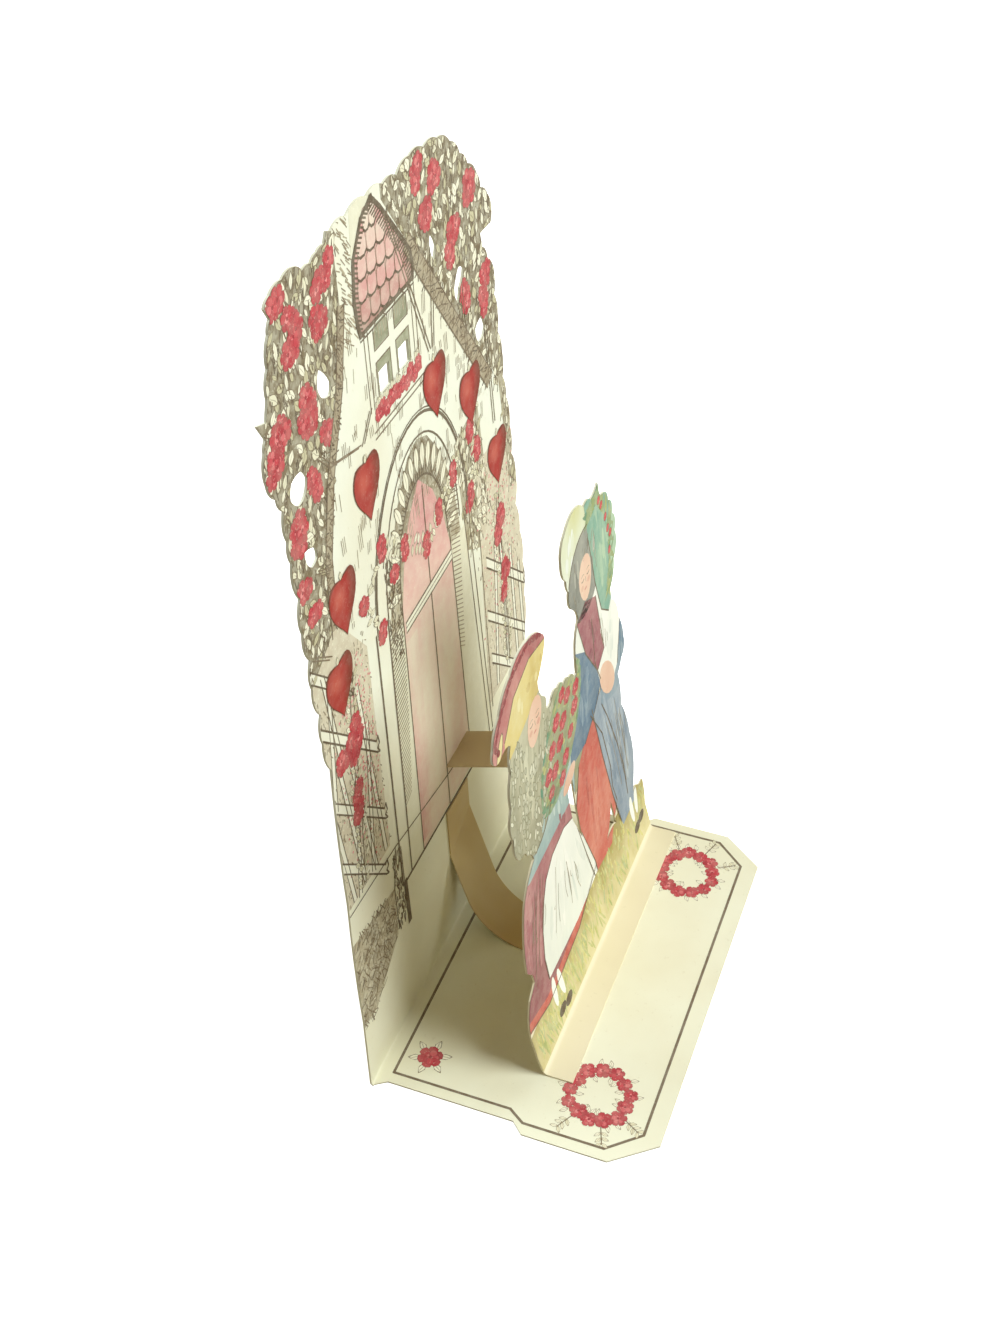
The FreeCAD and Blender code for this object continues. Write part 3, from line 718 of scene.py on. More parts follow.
# Roses among the leaves as (X, up from the fold, how many).
ROSE_CLUSTERS = (
    (-44.9, 196.5, 2), (-41.0, 191.0, 3), (-42.0, 186.2, 3), (-33.0, 185.2, 3), (-30.0, 192.8, 3),
    (-26.2, 195.0, 1), (-38.8, 174.3, 3), (-40.8, 170.6, 3), (-34.9, 166.1, 2), (-49.6, 175.8, 3),
    (-51.5, 171.4, 4), (-54.6, 168.6, 1), (-40.8, 158.9, 3), (-48.0, 155.4, 3), (-50.2, 151.6, 2),
    (11.1, 194.5, 3), (18.6, 189.6, 3), (15.4, 185.6, 4), (37.4, 182.0, 2), (35.2, 179.8, 3),
    (27.2, 174.8, 3), (25.0, 171.0, 2), (31.4, 160.0, 3), (42.6, 158.0, 3), (41.2, 154.0, 3),
    (28.9, 128.6, 1), (32.5, 121.9, 2), (27.3, 113.0, 2), (-48.6, 141.4, 2), (-46.0, 134.5, 2),
)


def panel_sheet():
    """The front of the back panel."""
    lean_normal = Vector((0, -math.cos(PANEL_LEAN), math.sin(PANEL_LEAN)))
    return Sheet("folded_card", place_on_panel, panel_flat,
                 lambda normal, centre: normal.dot(lean_normal) > 0.999 and centre.z > BOARD * MM)


def print_foliage(drawn, settings):
    """Climbing leaves round the gable, over an engraved ground, with roses among them."""
    rng = random.Random(settings.seed)
    ground, leaves, petals, lines = pick(drawn, "engraved_ground leaves roses lines")
    regions = (
        ((-60, 205), (-24, 205), (-24, 183), (-38.0, 147), (-60, 147)),
        ((-60, 147), (-38.0, 147), (-40.0, 127), (-60, 116)),
        ((-4.0, 205), (-4.0, 195.0), (7.6, 180.6), (46, 130), (62, 122), (62, 205)),
        ((20, 130), (34, 133), (38, 104), (31, 96), (24, 100)),
        ((47, 132), (60, 132), (60, 100), (51, 100)),
    )
    for number, region in enumerate(regions):
        ground.field(region, 0.12 if number < 3 else 0.6, 0)
    spacing = 2.6
    for row in range(int(110 / spacing)):
        for column in range(int(124 / spacing)):
            x = -60 + (column + 0.5 * (row % 2)) * spacing + rng.uniform(-0.9, 0.9)
            y = 96 + row * spacing + rng.uniform(-0.9, 0.9)
            if any(inside(region, x, y) for region in regions):
                size = settings.leaf_length * rng.uniform(0.6, 1.2)
                draw_leaf(leaves, x, y, size, rng.gauss(0, 40), rng.choice((0.45, 0.8, 1.0, 1.0)),
                          1 + (row + column) % 3, rng.uniform(0.32, 0.66))
                for _ in range(3):
                    a, b = x + rng.uniform(-1.6, 1.6), y + rng.uniform(-1.6, 1.6)
                    lean = rng.uniform(-0.7, 0.7)
                    lines.stroke([(a, b), (a + lean, b - rng.uniform(0.8, 1.8))],
                                 settings.line_width * 0.9, rng.uniform(0.0, 0.5), rng.choice((1, 4)))
    for x, y, count in ROSE_CLUSTERS:
        for i in range(count):
            angle = rng.uniform(0, 6.28)
            reach = 1.9 if i else 0.0
            draw_rose(petals, x + reach * math.cos(angle), y + reach * math.sin(angle) * 1.1,
                      settings.rose_width * rng.uniform(0.8, 1.0), rng, 5 + i)


def print_wall(drawn, settings):
    """Edges and stray tool marks of the plastered wall, and the rake boards of the gable."""
    lines = drawn["lines"]
    rng = random.Random(settings.seed + 1)
    width = settings.line_width
    for _ in range(230):
        x, y = rng.uniform(-36, 44), rng.uniform(122, 184)
        if inside(WALL, x, y):
            length = rng.uniform(1.2, 4.2)
            lean = rng.uniform(-0.5, 0.3)
            for k in range(rng.randint(1, 3)):
                lines.stroke([(x + k * 0.7, y), (x + k * 0.7 + lean, y - length)], width * 0.6,
                             rng.uniform(0.55, 0.9), 2)
    for _ in range(90):
        x, y = rng.uniform(-24, -18.6), rng.uniform(176, 201)
        lines.stroke([(x, y), (x + 1.3, y - rng.uniform(0.8, 2.0))], width * 0.7, rng.uniform(0.5, 1.0), 2)
    for start, end in RAKE_BOARDS:
        run = Vector(end) - Vector(start)
        side = Vector((run.y, -run.x)).normalized()
        half = 1.9 if start[0] > 0 else 1.3
        band = [Vector(corner) + side * reach for corner, reach in
                ((start, half), (end, half), (end, -half), (start, -half))]
        lines.field(band, 0.85, 7)
        for offset in (-half, half):
            lines.stroke([Vector(start) + side * offset, Vector(end) + side * offset], width * 1.1, 0.35, 8)
        for x, y, heading in along([start, end], 0.36):
            lean = math.radians(heading + rng.uniform(25, 120))
            tilt = Vector((math.cos(lean), math.sin(lean))) * rng.uniform(0.4, half * 0.8)
            spot = Vector((x, y)) + side * rng.uniform(-half, half)
            lines.stroke([spot - tilt, spot + tilt], width * 0.9, rng.uniform(0.0, 0.7), 8)


def print_hood(drawn, settings):
    """The pointed hood over the window with its rows of rounded tiles."""
    lines, tiles = pick(drawn, "lines roof_tiles")
    width = settings.line_width
    tiles.field([(-17.4, 176.0), (-18.2, 183), (-17.0, 190.0), (-12.6, 195.8), (-8.2, 198.0),
                 (-4.8, 194.6), (-0.4, 189.2), (6.2, 181.4), (6.9, 178), (6.4, 176.0)],
                tones=(0.2, 0.55), level=1)
    for row in range(5):
        foot = 176.2 + row * 4.1
        low, high = across_at(HOOD_LEFT, foot + 2) + 2.0, across_at(HOOD_RIGHT, foot + 2) - 2.6
        count = max(2, round((high - low) / 4.0))
        pitch = (high - low) / count
        for column in range(count):
            x = low + pitch * (column + 0.5)
            y = foot + 2.2 - (x + 6) * 0.10
            tiles.stamp(x, y, pitch * 0.98, 4.6, 0, 0.35 + 0.12 * row, 7 - row, 14, tile_form)
            lines.stroke([(x - pitch * 0.46, y - 1.4), (x - pitch * 0.2, y - 2.1),
                          (x + pitch * 0.2, y - 2.1), (x + pitch * 0.46, y - 1.4)], width * 1.3, 0.1, 10)
    for edge, side, deep in ((HOOD_LEFT, 1, 1.9), (HOOD_RIGHT, -1, 2.9)):
        for offset in (0.0, 0.5):
            lines.stroke([(x + side * offset, y) for x, y in edge], width * 1.9, 0.1, 10)
        for x, y, _ in along(edge, 0.9):
            lines.stroke([(x, y), (x + side * deep, y - 0.9)], width * 1.15, 0.15, 10)
    for y, wide in ((175.7, 2.6), (174.6, 1.0)):
        lines.stroke([(-17.6, y), (6.6, y)], wide * width, 0.15, 10)


def print_window(drawn, settings):
    """Printed sash, curtained upper panes, dark rims round the cut panes and the flower box."""
    lines, petals, leaves, glass = pick(drawn, "lines roses leaves window_glass")
    rng = random.Random(settings.seed + 2)
    width = settings.line_width
    for x0, x1 in ((-12.4, -6.0), (-3.3, 2.8)):
        glass.field([(x0, 170.2), (x0, 173.4), (x0 + 1.2, 174.9), (x1 - 1.2, 174.9), (x1, 173.4),
                     (x1, 170.2)], 0.4, 1)
        glass.field([(x0 + 0.3, 160.4), (x0 + 0.3, 167.3), (x1, 167.3), (x1, 160.4)], 0.55, 1)
        lines.stroke([(x0, 170), (x0, 174.2), (x0 + 1.6, 175.4), (x1 - 1.6, 175.4), (x1, 174.2),
                      (x1, 170)], width * 0.9, 0.4, 3, closed=True)
        lines.stroke([(x0, 160.2), (x0, 167.5), (x1, 167.5), (x1, 160.2)], width * 0.9, 0.4, 3)
        for k in range(5):
            x = x0 + 0.8 + k * (x1 - x0 - 1.6) / 4
            lines.stroke([(x, 174.6), (x + rng.uniform(-0.8, 0.8), 171.6)], width * 0.7, 0.9, 3)
    for x in (-16.3, -14.7, 4.9, 6.6):
        lines.stroke([(x, 176.0), (x, 159.0)], width * 0.9, 0.45, 3)
    for y in (154.3, 152.9):
        lines.stroke([(-15.6, y), (8.6, y)], width * 1.1, 0.4, 3)
    petals.field([(-14.4, 155.8), (7.4, 155.8), (7.4, 158.4), (-14.4, 158.4)], 0.35, 3)
    for x, y, _ in along([(-14.2, 157.2), (7.4, 157.2)], 1.9):
        draw_rose(petals, x, y + rng.uniform(-0.8, 1.1), 3.5, rng, 4)
        for k in range(3):
            draw_leaf(leaves, x + rng.uniform(-1.2, 1.2), y + 2.3 + rng.uniform(-0.3, 0.6), 2.2,
                      rng.uniform(-40, 40), 0.8, 3)


def print_hearts(drawn, settings):
    """Six hearts that hang on double strings from the eaves and the leaves."""
    lines, hearts, leaves = pick(drawn, "lines hearts leaves")
    width = settings.line_width
    for points in STRINGS:
        for offset in (-0.55, 0.55):
            lines.stroke([(x + offset, y) for x, y in points], width * 0.85, 0.45, 11)
    for x, y in HEART_PLACES:
        hearts.stamp(x, y, settings.heart_width, settings.heart_height, 0, 0.5, 13, 36, heart_form)
        leaves.stamp(x, y + settings.heart_height * 0.5, 1.3, 2.2, 0, 0.8, 12, 8, leaf_form)


def print_door(drawn, settings):
    """Arched door with a fringe of petals, plank lines, a cross-bar and the doorstep."""
    rng = random.Random(settings.seed + 3)
    lines, leaves, door, shade, pales = pick(drawn, "lines leaves door door_arch fences")
    width, axis, step = settings.line_width, DOOR_AXIS, DOORSTEP
    door.field([(-13.4, step), (-12.0, 108), (axis - 10.4, 118), (axis - 6.4, 127), (axis, 133.5),
                (axis + 6.6, 127), (axis + 10.8, 118), (14.6, 108), (17.4, step)],
               tones=(0.72, 0.9), level=0)
    door.field([(-12.4, 84), (-12.0, 108), (axis - 10.4, 118), (axis - 6.4, 127), (axis, 133.5),
                (axis + 6.6, 127), (axis + 10.8, 118), (14.6, 108), (14.8, 84)], level=1, tones=(0.8, 0.12))
    for k in range(5):
        x, tone = -13.2 + 1.3 * k, 0.36 + 0.09 * k
        door.field([(x, 42), (x + 1.0, 100), (x + 2.3, 100), (x + 1.3, 42)], level=2, tones=(tone, 0.72))
    shade.field([(axis - 19, 106), (axis - 16.5, 122), (axis - 11, 133), (axis - 4, 141), (axis + 1, 142.5),
                 (axis + 6, 140.5), (axis + 12, 133), (axis + 17, 122), (axis + 20, 106)],
                tones=(0.5, 0.0), level=0)
    for corners in (((-24, 180), (-24, 201), (-8.2, 201), (-8.2, 198.4), (-18.0, 190.3), (-19.2, 180)),
                    ((-18.9, 106), (-11.9, 106), (-13.2, step), (-20.3, step)),
                    ((14.8, 108), (23.0, 108), (27.4, step), (17.2, step))):
        shade.field(corners, tones=(1.0, 0.9), level=0)
    for i in range(17):
        angle = math.radians(4 + 172 * i / 16)
        x, y = axis + 15.4 * math.cos(angle), 112 + 26.0 * math.sin(angle)
        leaves.stamp(x, y, 2.5, 7.0,
                     math.degrees(math.atan2(26 * math.sin(angle), 15 * math.cos(angle))) + 90,
                     1.0, 5, 8, drop_form)
    for rx, ry, wide in ((19.4, 31.0, 1.3), (24.2, 35.4, 2.0), (24.9, 36.2, 0.9), (12.8, 21.6, 1.4)):
        lines.stroke(arc(axis, 112, rx, ry, 0, 180, 26), width * wide, 0.2, 6)
    for x, y, heading in along(arc(axis, 112, 12.8, 21.6, 0, 180, 30), 0.9):
        out = math.radians(heading - 90)
        lines.stroke([(x, y), (x + 1.9 * math.cos(out), y + 1.9 * math.sin(out))], width, 0.2, 4)
    for (x0, y0), (x1, y1), wide, tone in (
            ((-24.6, 112), (-25.6, step), 1.9, 0.15), ((-18.8, 112), (-20.5, step), 1.7, 0.2),
            ((-11.8, 112), (-13.4, step), 1.2, 0.2), ((2.6, 131), (2.9, step), 1.3, 0.25),
            ((14.5, 112), (17.4, step), 1.2, 0.3), ((22.6, 112), (29.6, step), 1.0, 0.45),
            ((25.2, 112), (31.6, step), 1.0, 0.45), ((31.0, 100), (32.6, step + 6), 0.9, 0.5)):
        lines.stroke([(x0, y0), (x1, y1)], width * wide, tone, 7)
    bar = [(-10.9, 102.6), (-10.9, 105.2), (14.7, 106.8), (14.7, 104.1)]
    pales.field(bar, 0.7, 8)
    for start, end in ((bar[0], bar[3]), (bar[1], bar[2])):
        lines.stroke([start, end], width * 1.3, 0.2, 9)
    lines.stroke([(-10.9, 103.9), (14.7, 105.5)], width * 0.8, 0.35, 9)
    for x, y, _ in along([(-18.9, 108), (-20.0, 60)], 1.15):
        share = (108 - y) / 48
        lines.stroke([(x + 0.4, y), (x + 6.4 * (1 - 0.45 * share ** 2), y + 1.5)], width * 0.95,
                     0.2 + 0.7 * share, 6)
    for x, y, _ in along([(15.2, 126), (15.6, 78)], 1.2):
        share = (126 - y) / 48
        lines.stroke([(x, y), (x + 5.4 * (1 - 0.5 * share), y - 1.8)], width * 0.8, 0.3 + 0.65 * share, 6)
    for _ in range(120):
        x, y = rng.uniform(-18.4, -12.4), rng.uniform(100, 126)
        lines.stroke([(x, y), (x + rng.uniform(-0.5, 0.5), y - 1.2)], width, rng.uniform(0.0, 0.4), 6)
    lines.stroke([(-53.0, 56.2), (-27.3, 54.3), (0.0, 49.6), (16, 47.4)], width * 1.2, 0.2, 8)
    lines.stroke([(-24.6, 39.9), (36.0, 38.6)], width * 2.4, 0.1, 8)
    lines.stroke([(-24.4, 40.2), (-24.2, 27.0)], width * 5.4, 0.1, 8)
    lines.stroke([(-27.3, 54.3), (-29.9, 43.0), (-29.9, 30.0)], width * 1.2, 0.2, 8)
    lines.stroke([(-24.8, 52.0), (-24.8, 40.0)], width, 0.3, 8)
    print_garlands(drawn, rng)


def print_garlands(drawn, rng):
    """Roses and leaves strung across the arch and down its left side."""
    leaves, petals = pick(drawn, "leaves roses")
    garland = [(-18.4, 129.6), (-13.0, 126.0), (-7.6, 122.6), (-2.4, 119.6), (2.6, 116.6), (7.6, 118.4),
               (11.4, 120.4), (17.4, 123.6), (22.0, 128.4), (28.6, 128.0), (32.2, 121.6), (28.0, 113.4)]
    for x, y, heading in along(garland, 1.9):
        for side in (-1, 1):
            draw_leaf(leaves, x + rng.uniform(-0.8, 0.8), y + side * 1.4, 2.8,
                      heading - 90 + side * rng.uniform(60, 110), rng.uniform(0.5, 1.0), 7)
    for x, y in ((-18.2, 129.4), (-8.0, 122.6), (2.4, 116.2), (9.8, 119.8), (18.5, 124.0), (29.0, 128.6),
                 (32.4, 121.9), (27.4, 113.2)):
        for lift in (-1.2, 1.2):
            draw_rose(petals, x, y + lift, 4.2, rng, 9)
    side_garland = [(-18.6, 128.0), (-23.0, 125.0), (-28.6, 121.7), (-24.6, 116.0), (-21.1, 110.9)]
    for x, y, heading in along(side_garland, 1.5):
        draw_leaf(leaves, x + rng.uniform(-1.6, 1.6), y, 2.9, rng.uniform(-180, 180), 0.8, 7)
    for x, y in ((-18.2, 129.6), (-28.6, 121.7), (-21.1, 110.9), (-14.4, 120.2)):
        for _ in range(2):
            draw_rose(petals, x + rng.uniform(-0.9, 0.9), y + rng.uniform(-1.2, 1.2), 4.4, rng, 9)


def print_rail(pales, lines, width, start, run, slope, tall):
    """One rail of the rustic fence, drawn as it runs away from the viewer, with its broken end."""
    x0, y0 = start
    x1, y1 = x0 + run, y0 + run * slope
    pales.field([(x0, y0), (x1, y1), (x1, y1 - tall), (x0, y0 - tall)], 0.8, 3)
    lines.stroke([(x0, y0), (x1, y1), (x1 + 0.9, y1 + 0.8), (x1 + 1.3, y1 - 1.4), (x1 + 0.2, y1 - 1.9),
                  (x1 + 1.1, y1 - tall - 0.6), (x1, y1 - tall), (x0, y0 - tall)], width * 1.3, 0.1, 6)


def print_fences(drawn, settings):
    """Rustic fences on both sides over a pink and brown haze, and the shaded bank of grass."""
    lines, pales, haze = pick(drawn, "lines fences garden_haze")
    rng = random.Random(settings.seed + 4)
    width = settings.line_width
    for corners in (((-56, 118), (-40, 127), (-29, 113), (-29.5, 57), (-56, 58)),
                    ((31, 118), (52, 118), (60, 104), (60, 50), (31, 48))):
        haze.field(corners, 0.82, 0)
    for x0, y0, x1, y1 in PICKETS:
        pales.field([(x0 - 0.75, y0), (x1 - 0.75, y1), (x1 + 0.75, y1), (x0 + 0.75, y0)], 0.85, 1)
        for side in (-0.75, 0.75):
            lines.stroke([(x0 + side, y0), (x1 + side, y1)], width * 0.9, 0.2, 5)
    for start, run in (((-54, 126.4), 16), ((-51.5, 109.8), 21.5), ((-52.6, 91.4), 22.5), ((-51.6, 73.0), 19),
                       ((34.0, 91.0), 23), ((33.0, 76.0), 25), ((34.0, 62.0), 24)):
        print_rail(pales, lines, width, start, run, -1.0 if start[0] < 0 else -0.9, 3.0)
    for _ in range(900):
        side = rng.choice((-1, -1, 1))
        x = side * rng.uniform(29, 54)
        y = rng.uniform(58, 118)
        lines.stroke([(x, y), (x + rng.uniform(-0.6, 0.6), y - rng.uniform(0.4, 1.1))], width * 0.75,
                     rng.uniform(0.4, 0.9), 1)
    bank = ((-56, 48.0), (-30, 43.4), (-30.6, 29), (-39.0, 23.6), (-45, 16.4), (-56, 20))
    haze.field([(-56, 48.0), (-30, 43.4), (-30.6, 29), (-45, 19.0), (-56, 22)], 0.5, 0)
    for _ in range(560):
        x, y = rng.uniform(-54, -29), rng.uniform(16, 48)
        if inside(bank, x, y):
            turn = math.radians(rng.choice((rng.gauss(115, 20), rng.gauss(35, 25))))
            reach = rng.uniform(1.4, 3.4)
            lines.stroke([(x, y), (x + reach * math.cos(turn), y + reach * math.sin(turn))], width * 0.8,
                         rng.uniform(0.3, 1.0), 6)
    for _ in range(90):
        x, y = rng.uniform(-29.6, -25.2), rng.uniform(30, 53)
        lines.stroke([(x, y), (x + rng.uniform(-0.5, 0.5), y - 1.6)], width, rng.uniform(0.0, 0.5), 6)


def print_climbers(drawn, settings):
    """Climbing roses before the fences and the pink dots round them."""
    lines, leaves, petals, blush = pick(drawn, "lines leaves roses pink_dots")
    rng = random.Random(settings.seed + 5)
    stems = (((-43, 58), (-41, 76), (-39.4, 94), (-37, 112)), ((45, 52), (44.4, 78), (42, 94), (43, 104)))
    for points in stems:
        for offset in (-0.8, 0.8):
            lines.stroke([(x + offset, y) for x, y in points], settings.line_width, 0.2, 7)
        for x, y, heading in along(points, 2.2):
            for side in (-1, 1):
                draw_leaf(leaves, x + side * rng.uniform(1, 3), y, 2.7, heading - 90 - side * 50,
                          rng.uniform(0.5, 1.0), 8)
    for x, y, count in ((-37.9, 100.1, 2), (-39.0, 96.6, 3), (-39.8, 93.0, 2), (-43.8, 95.2, 3),
                        (-39.8, 84.0, 3), (-40.8, 79.5, 3), (43.9, 97.3, 3), (41.8, 93.6, 3),
                        (44.6, 79.4, 3), (44.2, 75.3, 2)):
        for i in range(count):
            angle = rng.uniform(0, 6.28)
            draw_rose(petals, x + 1.7 * math.cos(angle) * (i > 0), y + 2.0 * math.sin(angle) * (i > 0),
                      settings.rose_width * rng.uniform(0.8, 1.0), rng, 9 + i)
    for _ in range(760):
        x = rng.choice((rng.gauss(-37, 5), rng.gauss(-37, 5), rng.gauss(43, 6)))
        y = rng.gauss(92, 15)
        if 56 < y < 116 and abs(x) > 29:
            blush.stamp(x, y, rng.uniform(0.35, 0.8), rng.uniform(0.35, 0.8), 0, rng.random(), 2, 6)


def dress_panel(settings):
    """Prints the back panel."""
    sheet = panel_sheet()
    drawn = {name: Ink(sheet) for name in PANEL_FINISHES}
    for step in (print_foliage, print_wall, print_hood, print_window, print_door, print_fences,
                 print_climbers, print_hearts):
        step(drawn, settings)
    lay_all(sheet, drawn, "panel_", PANEL_FINISHES, "card_board")


# Base

BASE_FINISHES = {"border": "line", "leaves": "base_leaf", "roses": "rose"}


def base_sheet():
    """The top of the base."""
    return Sheet("folded_card", place_on_base, base_flat,
                 lambda normal, centre: normal.z > 0.999 and centre.y < (FOLD_Y - 1) * MM)


def print_wreath(x, y, leaves, petals, rng):
    """A round of roses with leafy sprigs outside it; its middle is bare."""
    for i in range(13):
        angle = 2 * math.pi * i / 13 + 0.2
        reach = 6.9 + rng.uniform(-0.5, 0.5)
        draw_rose(petals, x + reach * math.cos(angle), y + reach * math.sin(angle),
                  3.9 * rng.uniform(0.9, 1.1), rng, 3)
    for i in range(24):
        angle = 2 * math.pi * i / 24
        reach = rng.choice((4.6, 9.2))
        draw_leaf(leaves, x + reach * math.cos(angle), y + reach * math.sin(angle), 2.2,
                  math.degrees(angle) - 90 + rng.uniform(-30, 30) + (180 if reach < 5 else 0), 0.95, 1)


def dress_base(settings):
    """Prints the border, the wreaths and the two roses behind the figures."""
    rng = random.Random(settings.seed + 6)
    sheet = base_sheet()
    drawn = {name: Ink(sheet) for name in BASE_FINISHES}
    lines, leaves, petals = drawn.values()
    width = settings.line_width
    right = [(47.4, -3.5), (47.4, -32.5), (50.0, -36.4), (50.0, -55.8), (43.6, -63.2)]
    border = right + [(-x, y) for x, y in reversed(right)]
    lines.stroke(border, width * 1.9, 0.35, 1, closed=True)
    for x, y in ((-36.9, -50.5), (36.9, -50.5)):
        print_wreath(x, y, leaves, petals, rng)
        outward = 1 if x > 0 else -1
        for turn in (-outward * 60, -outward * 110, -outward * 150):
            angle = math.radians(turn + 90)
            draw_sprig(leaves, lines, x + 8.4 * math.cos(angle), y + 8.4 * math.sin(angle), turn, 4.6,
                       rng, width * 0.7)
    for x in (-40.5, 40.5):
        for turn in range(20, 380, 60):
            angle = math.radians(turn + 90)
            draw_leaf(leaves, x + 3.6 * math.cos(angle), -9.8 + 3.6 * math.sin(angle), 3.4, turn, 0.95, 1)
        draw_rose(petals, x, -9.8, 6.0, rng, 3)
    lay_all(sheet, drawn, "base_", BASE_FINISHES, "card_board")


# Figure sheet, in layers from 0, the grass, to 10, the mouths and berries

FIGURE_FINISHES = {
    "lines": "line", "posy_roses": "rose", "leaves": "green", "lace": "lace", "berries_and_scallops": "berry",
}
FINE_LINE = 0.8                          # lines of this sheet, in line widths

# Convex fields of colour as (ink, layer, tone at the bottom, tone at the top, corners).
FIGURE_FIELDS = (
    ("grass", 0, 1.0, 0.5, ((-40, 1.3), (-40, 12), (0, 15), (44, 19), (56, 18), (56, 1.3))),
    ("grass", 1, 0.85, 0.2, ((0, 9), (0, 15), (15, 20), (30, 21), (46, 18.6), (56, 17), (56, 9), (30, 7))),
    ("skirt", 2, 0.3, 0.65, ((-42, 19), (-42, 56), (-27, 64), (-3, 60), (2, 50), (14, 20), (-1, 12.6),
                             (-24, 10.6), (-36, 13.4))),
    ("red", 3, 0.4, 0.5, ((-37, 13.4), (-24, 10.6), (-24, 13.2), (-36, 16.4))),
    ("red", 3, 0.4, 0.5, ((-24, 10.6), (-1, 12.6), (-1, 15.8), (-24, 13.2))),
    ("red", 3, 0.5, 0.6, ((-1, 12.6), (14, 20), (13.4, 23), (-1, 15.8))),
    ("linen", 4, 0.5, 0.85, ((-22.5, 44), (-20.6, 49), (-16, 52.4), (-8, 53.4), (-2, 51), (0.6, 47), (13, 22),
                             (14.6, 17), (-1, 15.6), (-21.5, 16.6), (-23.6, 26), (-23.9, 35))),
    ("posy", 2, 0.5, 0.6, ((-20, 66), (8, 66), (8, 96), (-20, 98))),
    ("posy", 1, 0.5, 0.5, ((0.2, 56), (10, 56), (10, 72), (0.2, 72))),
    ("sleeve", 3, 0.35, 0.9, ((-42, 62), (-30, 57.4), (0, 57.4), (0, 70), (-4, 73), (-20, 78), (-42, 78))),
    ("shawl", 4, 0.35, 0.75, oval(-25, 85, 14.5, 22.5)),
    ("posy", 6, 0.35, 0.6, oval(-7.5, 80.5, 11, 17.5, -36)),
    ("skin", 7, 0.5, 0.7, oval(-3.4, 64.4, 4.4, 2.5, 24, 16)),
    ("bonnet", 5, 0.35, 0.7, ((-12.6, 117), (-13, 108), (-19, 103.4), (-36, 99), (-44, 103), (-42, 113),
                              (-25, 119))),
    ("rim", 6, 0.6, 0.4, ((-13, 118), (-24, 122), (-24, 115), (-14, 113.2))),
    ("rim", 6, 0.7, 0.4, ((-24, 122), (-36, 119), (-33, 112.2), (-24, 115))),
    ("rim", 6, 0.75, 0.45, ((-36, 119), (-48, 112), (-48, 104), (-38.6, 105.4), (-33, 112.2))),
    ("rim", 6, 0.9, 0.7, ((-48, 104), (-46, 98), (-39, 99.6), (-38.6, 105.4))),
    ("red", 2, 0.75, 0.45, ((12, 70), (3, 62), (0, 47), (7, 30), (14, 26), (27, 27), (26, 42), (20, 58))),
    ("red", 2, 0.5, 0.7, ((8, 30), (12.6, 17), (26, 15.5), (31, 26), (27, 34), (14, 36))),
    ("trousers", 3, 0.45, 0.7, ((13, 71), (20, 51), (27.6, 31), (35, 13.6), (45.6, 14), (46.4, 31),
                                (46, 52), (38, 73))),
    ("coat", 4, 0.25, 0.5, ((-2, 98), (-2, 66), (8, 65), (15, 69), (20, 74), (20, 86), (14, 100))),
    ("coat", 4, 0.7, 0.45, ((26, 96), (36, 90), (44, 76), (40, 66), (31, 62), (20, 66), (19, 78))),
    ("linen", 5, 0.6, 0.7, ((2, 104), (3, 95), (9, 91), (20, 93), (23, 104))),
    ("linen", 5, 0.65, 0.95, ((14, 96.4), (16, 82), (20.4, 72), (27, 66), (32, 70), (35, 89), (30, 96),
                              (22, 99))),
    ("scarf", 6, 0.4, 0.65, ((4.6, 101.6), (9.6, 90), (17.6, 79), (22.4, 82), (17, 100.6), (10, 104))),
    ("skin", 7, 0.5, 0.7, oval(24.4, 71.6, 7.6, 3.6, -52, 16)),
    ("hair", 6, 0.35, 0.6, oval(10.4, 111.6, 10.6, 11.2)),
    ("hat", 4, 1.0, 0.25, ((-9, 104), (-9, 134), (15, 134), (15, 118), (5, 104))),
    ("plume", 7, 0.35, 0.6, ((10, 131), (13, 118), (17, 104), (21, 94), (26, 90), (34, 100), (34, 118),
                             (24, 131))),
    ("plume", 8, 0.8, 0.9, ((29, 122), (27.6, 104), (31, 94), (36, 100), (36, 118))),
)
SHAWL = oval(-25, 85, 13.6, 21.6)
POSY = oval(-7.5, 80.5, 10.4, 16.8, -36)
# Outlines between the fields, in the brown of the key plate.
FIGURE_LINES = (
    ((-21.5, 16.6), (-23.6, 26), (-23.9, 35), (-22.5, 44), (-20.6, 49), (-16, 52.4), (-8, 53.4), (-2, 51),
     (0.6, 47), (13, 22), (14.6, 17)),
    ((-36, 13.6), (-24, 10.8), (-1, 12.8), (14, 20)), arc(-25, 85, 14.5, 22.5, 196, 322, 16),
    ((-14, 113.2), (-24, 115), (-33, 112.2), (-38.6, 105.4), (-39, 99.6)),
    ((12, 70), (20, 58), (26, 42), (27.4, 34), (31, 26), (28, 20)), ((8, 65), (15, 69), (18.6, 72.6)),
    ((3, 62), (0, 47), (7, 30), (12.6, 17)), ((14, 96.4), (16, 82), (19.6, 75)),
    ((32, 70), (34.4, 84), (33, 91)), ((4.6, 101.6), (9.6, 90), (17.6, 79), (22.4, 82), (17, 100.6)),
    arc(10.4, 111.6, 10.6, 11.2, 80, 250, 14), ((20, 67), (24, 60), (30, 48), (36, 34), (40, 20)),
    ((13, 71), (20, 51), (27.6, 31), (34, 16)), ((13, 118), (17, 104), (21, 94), (26, 90)),
)

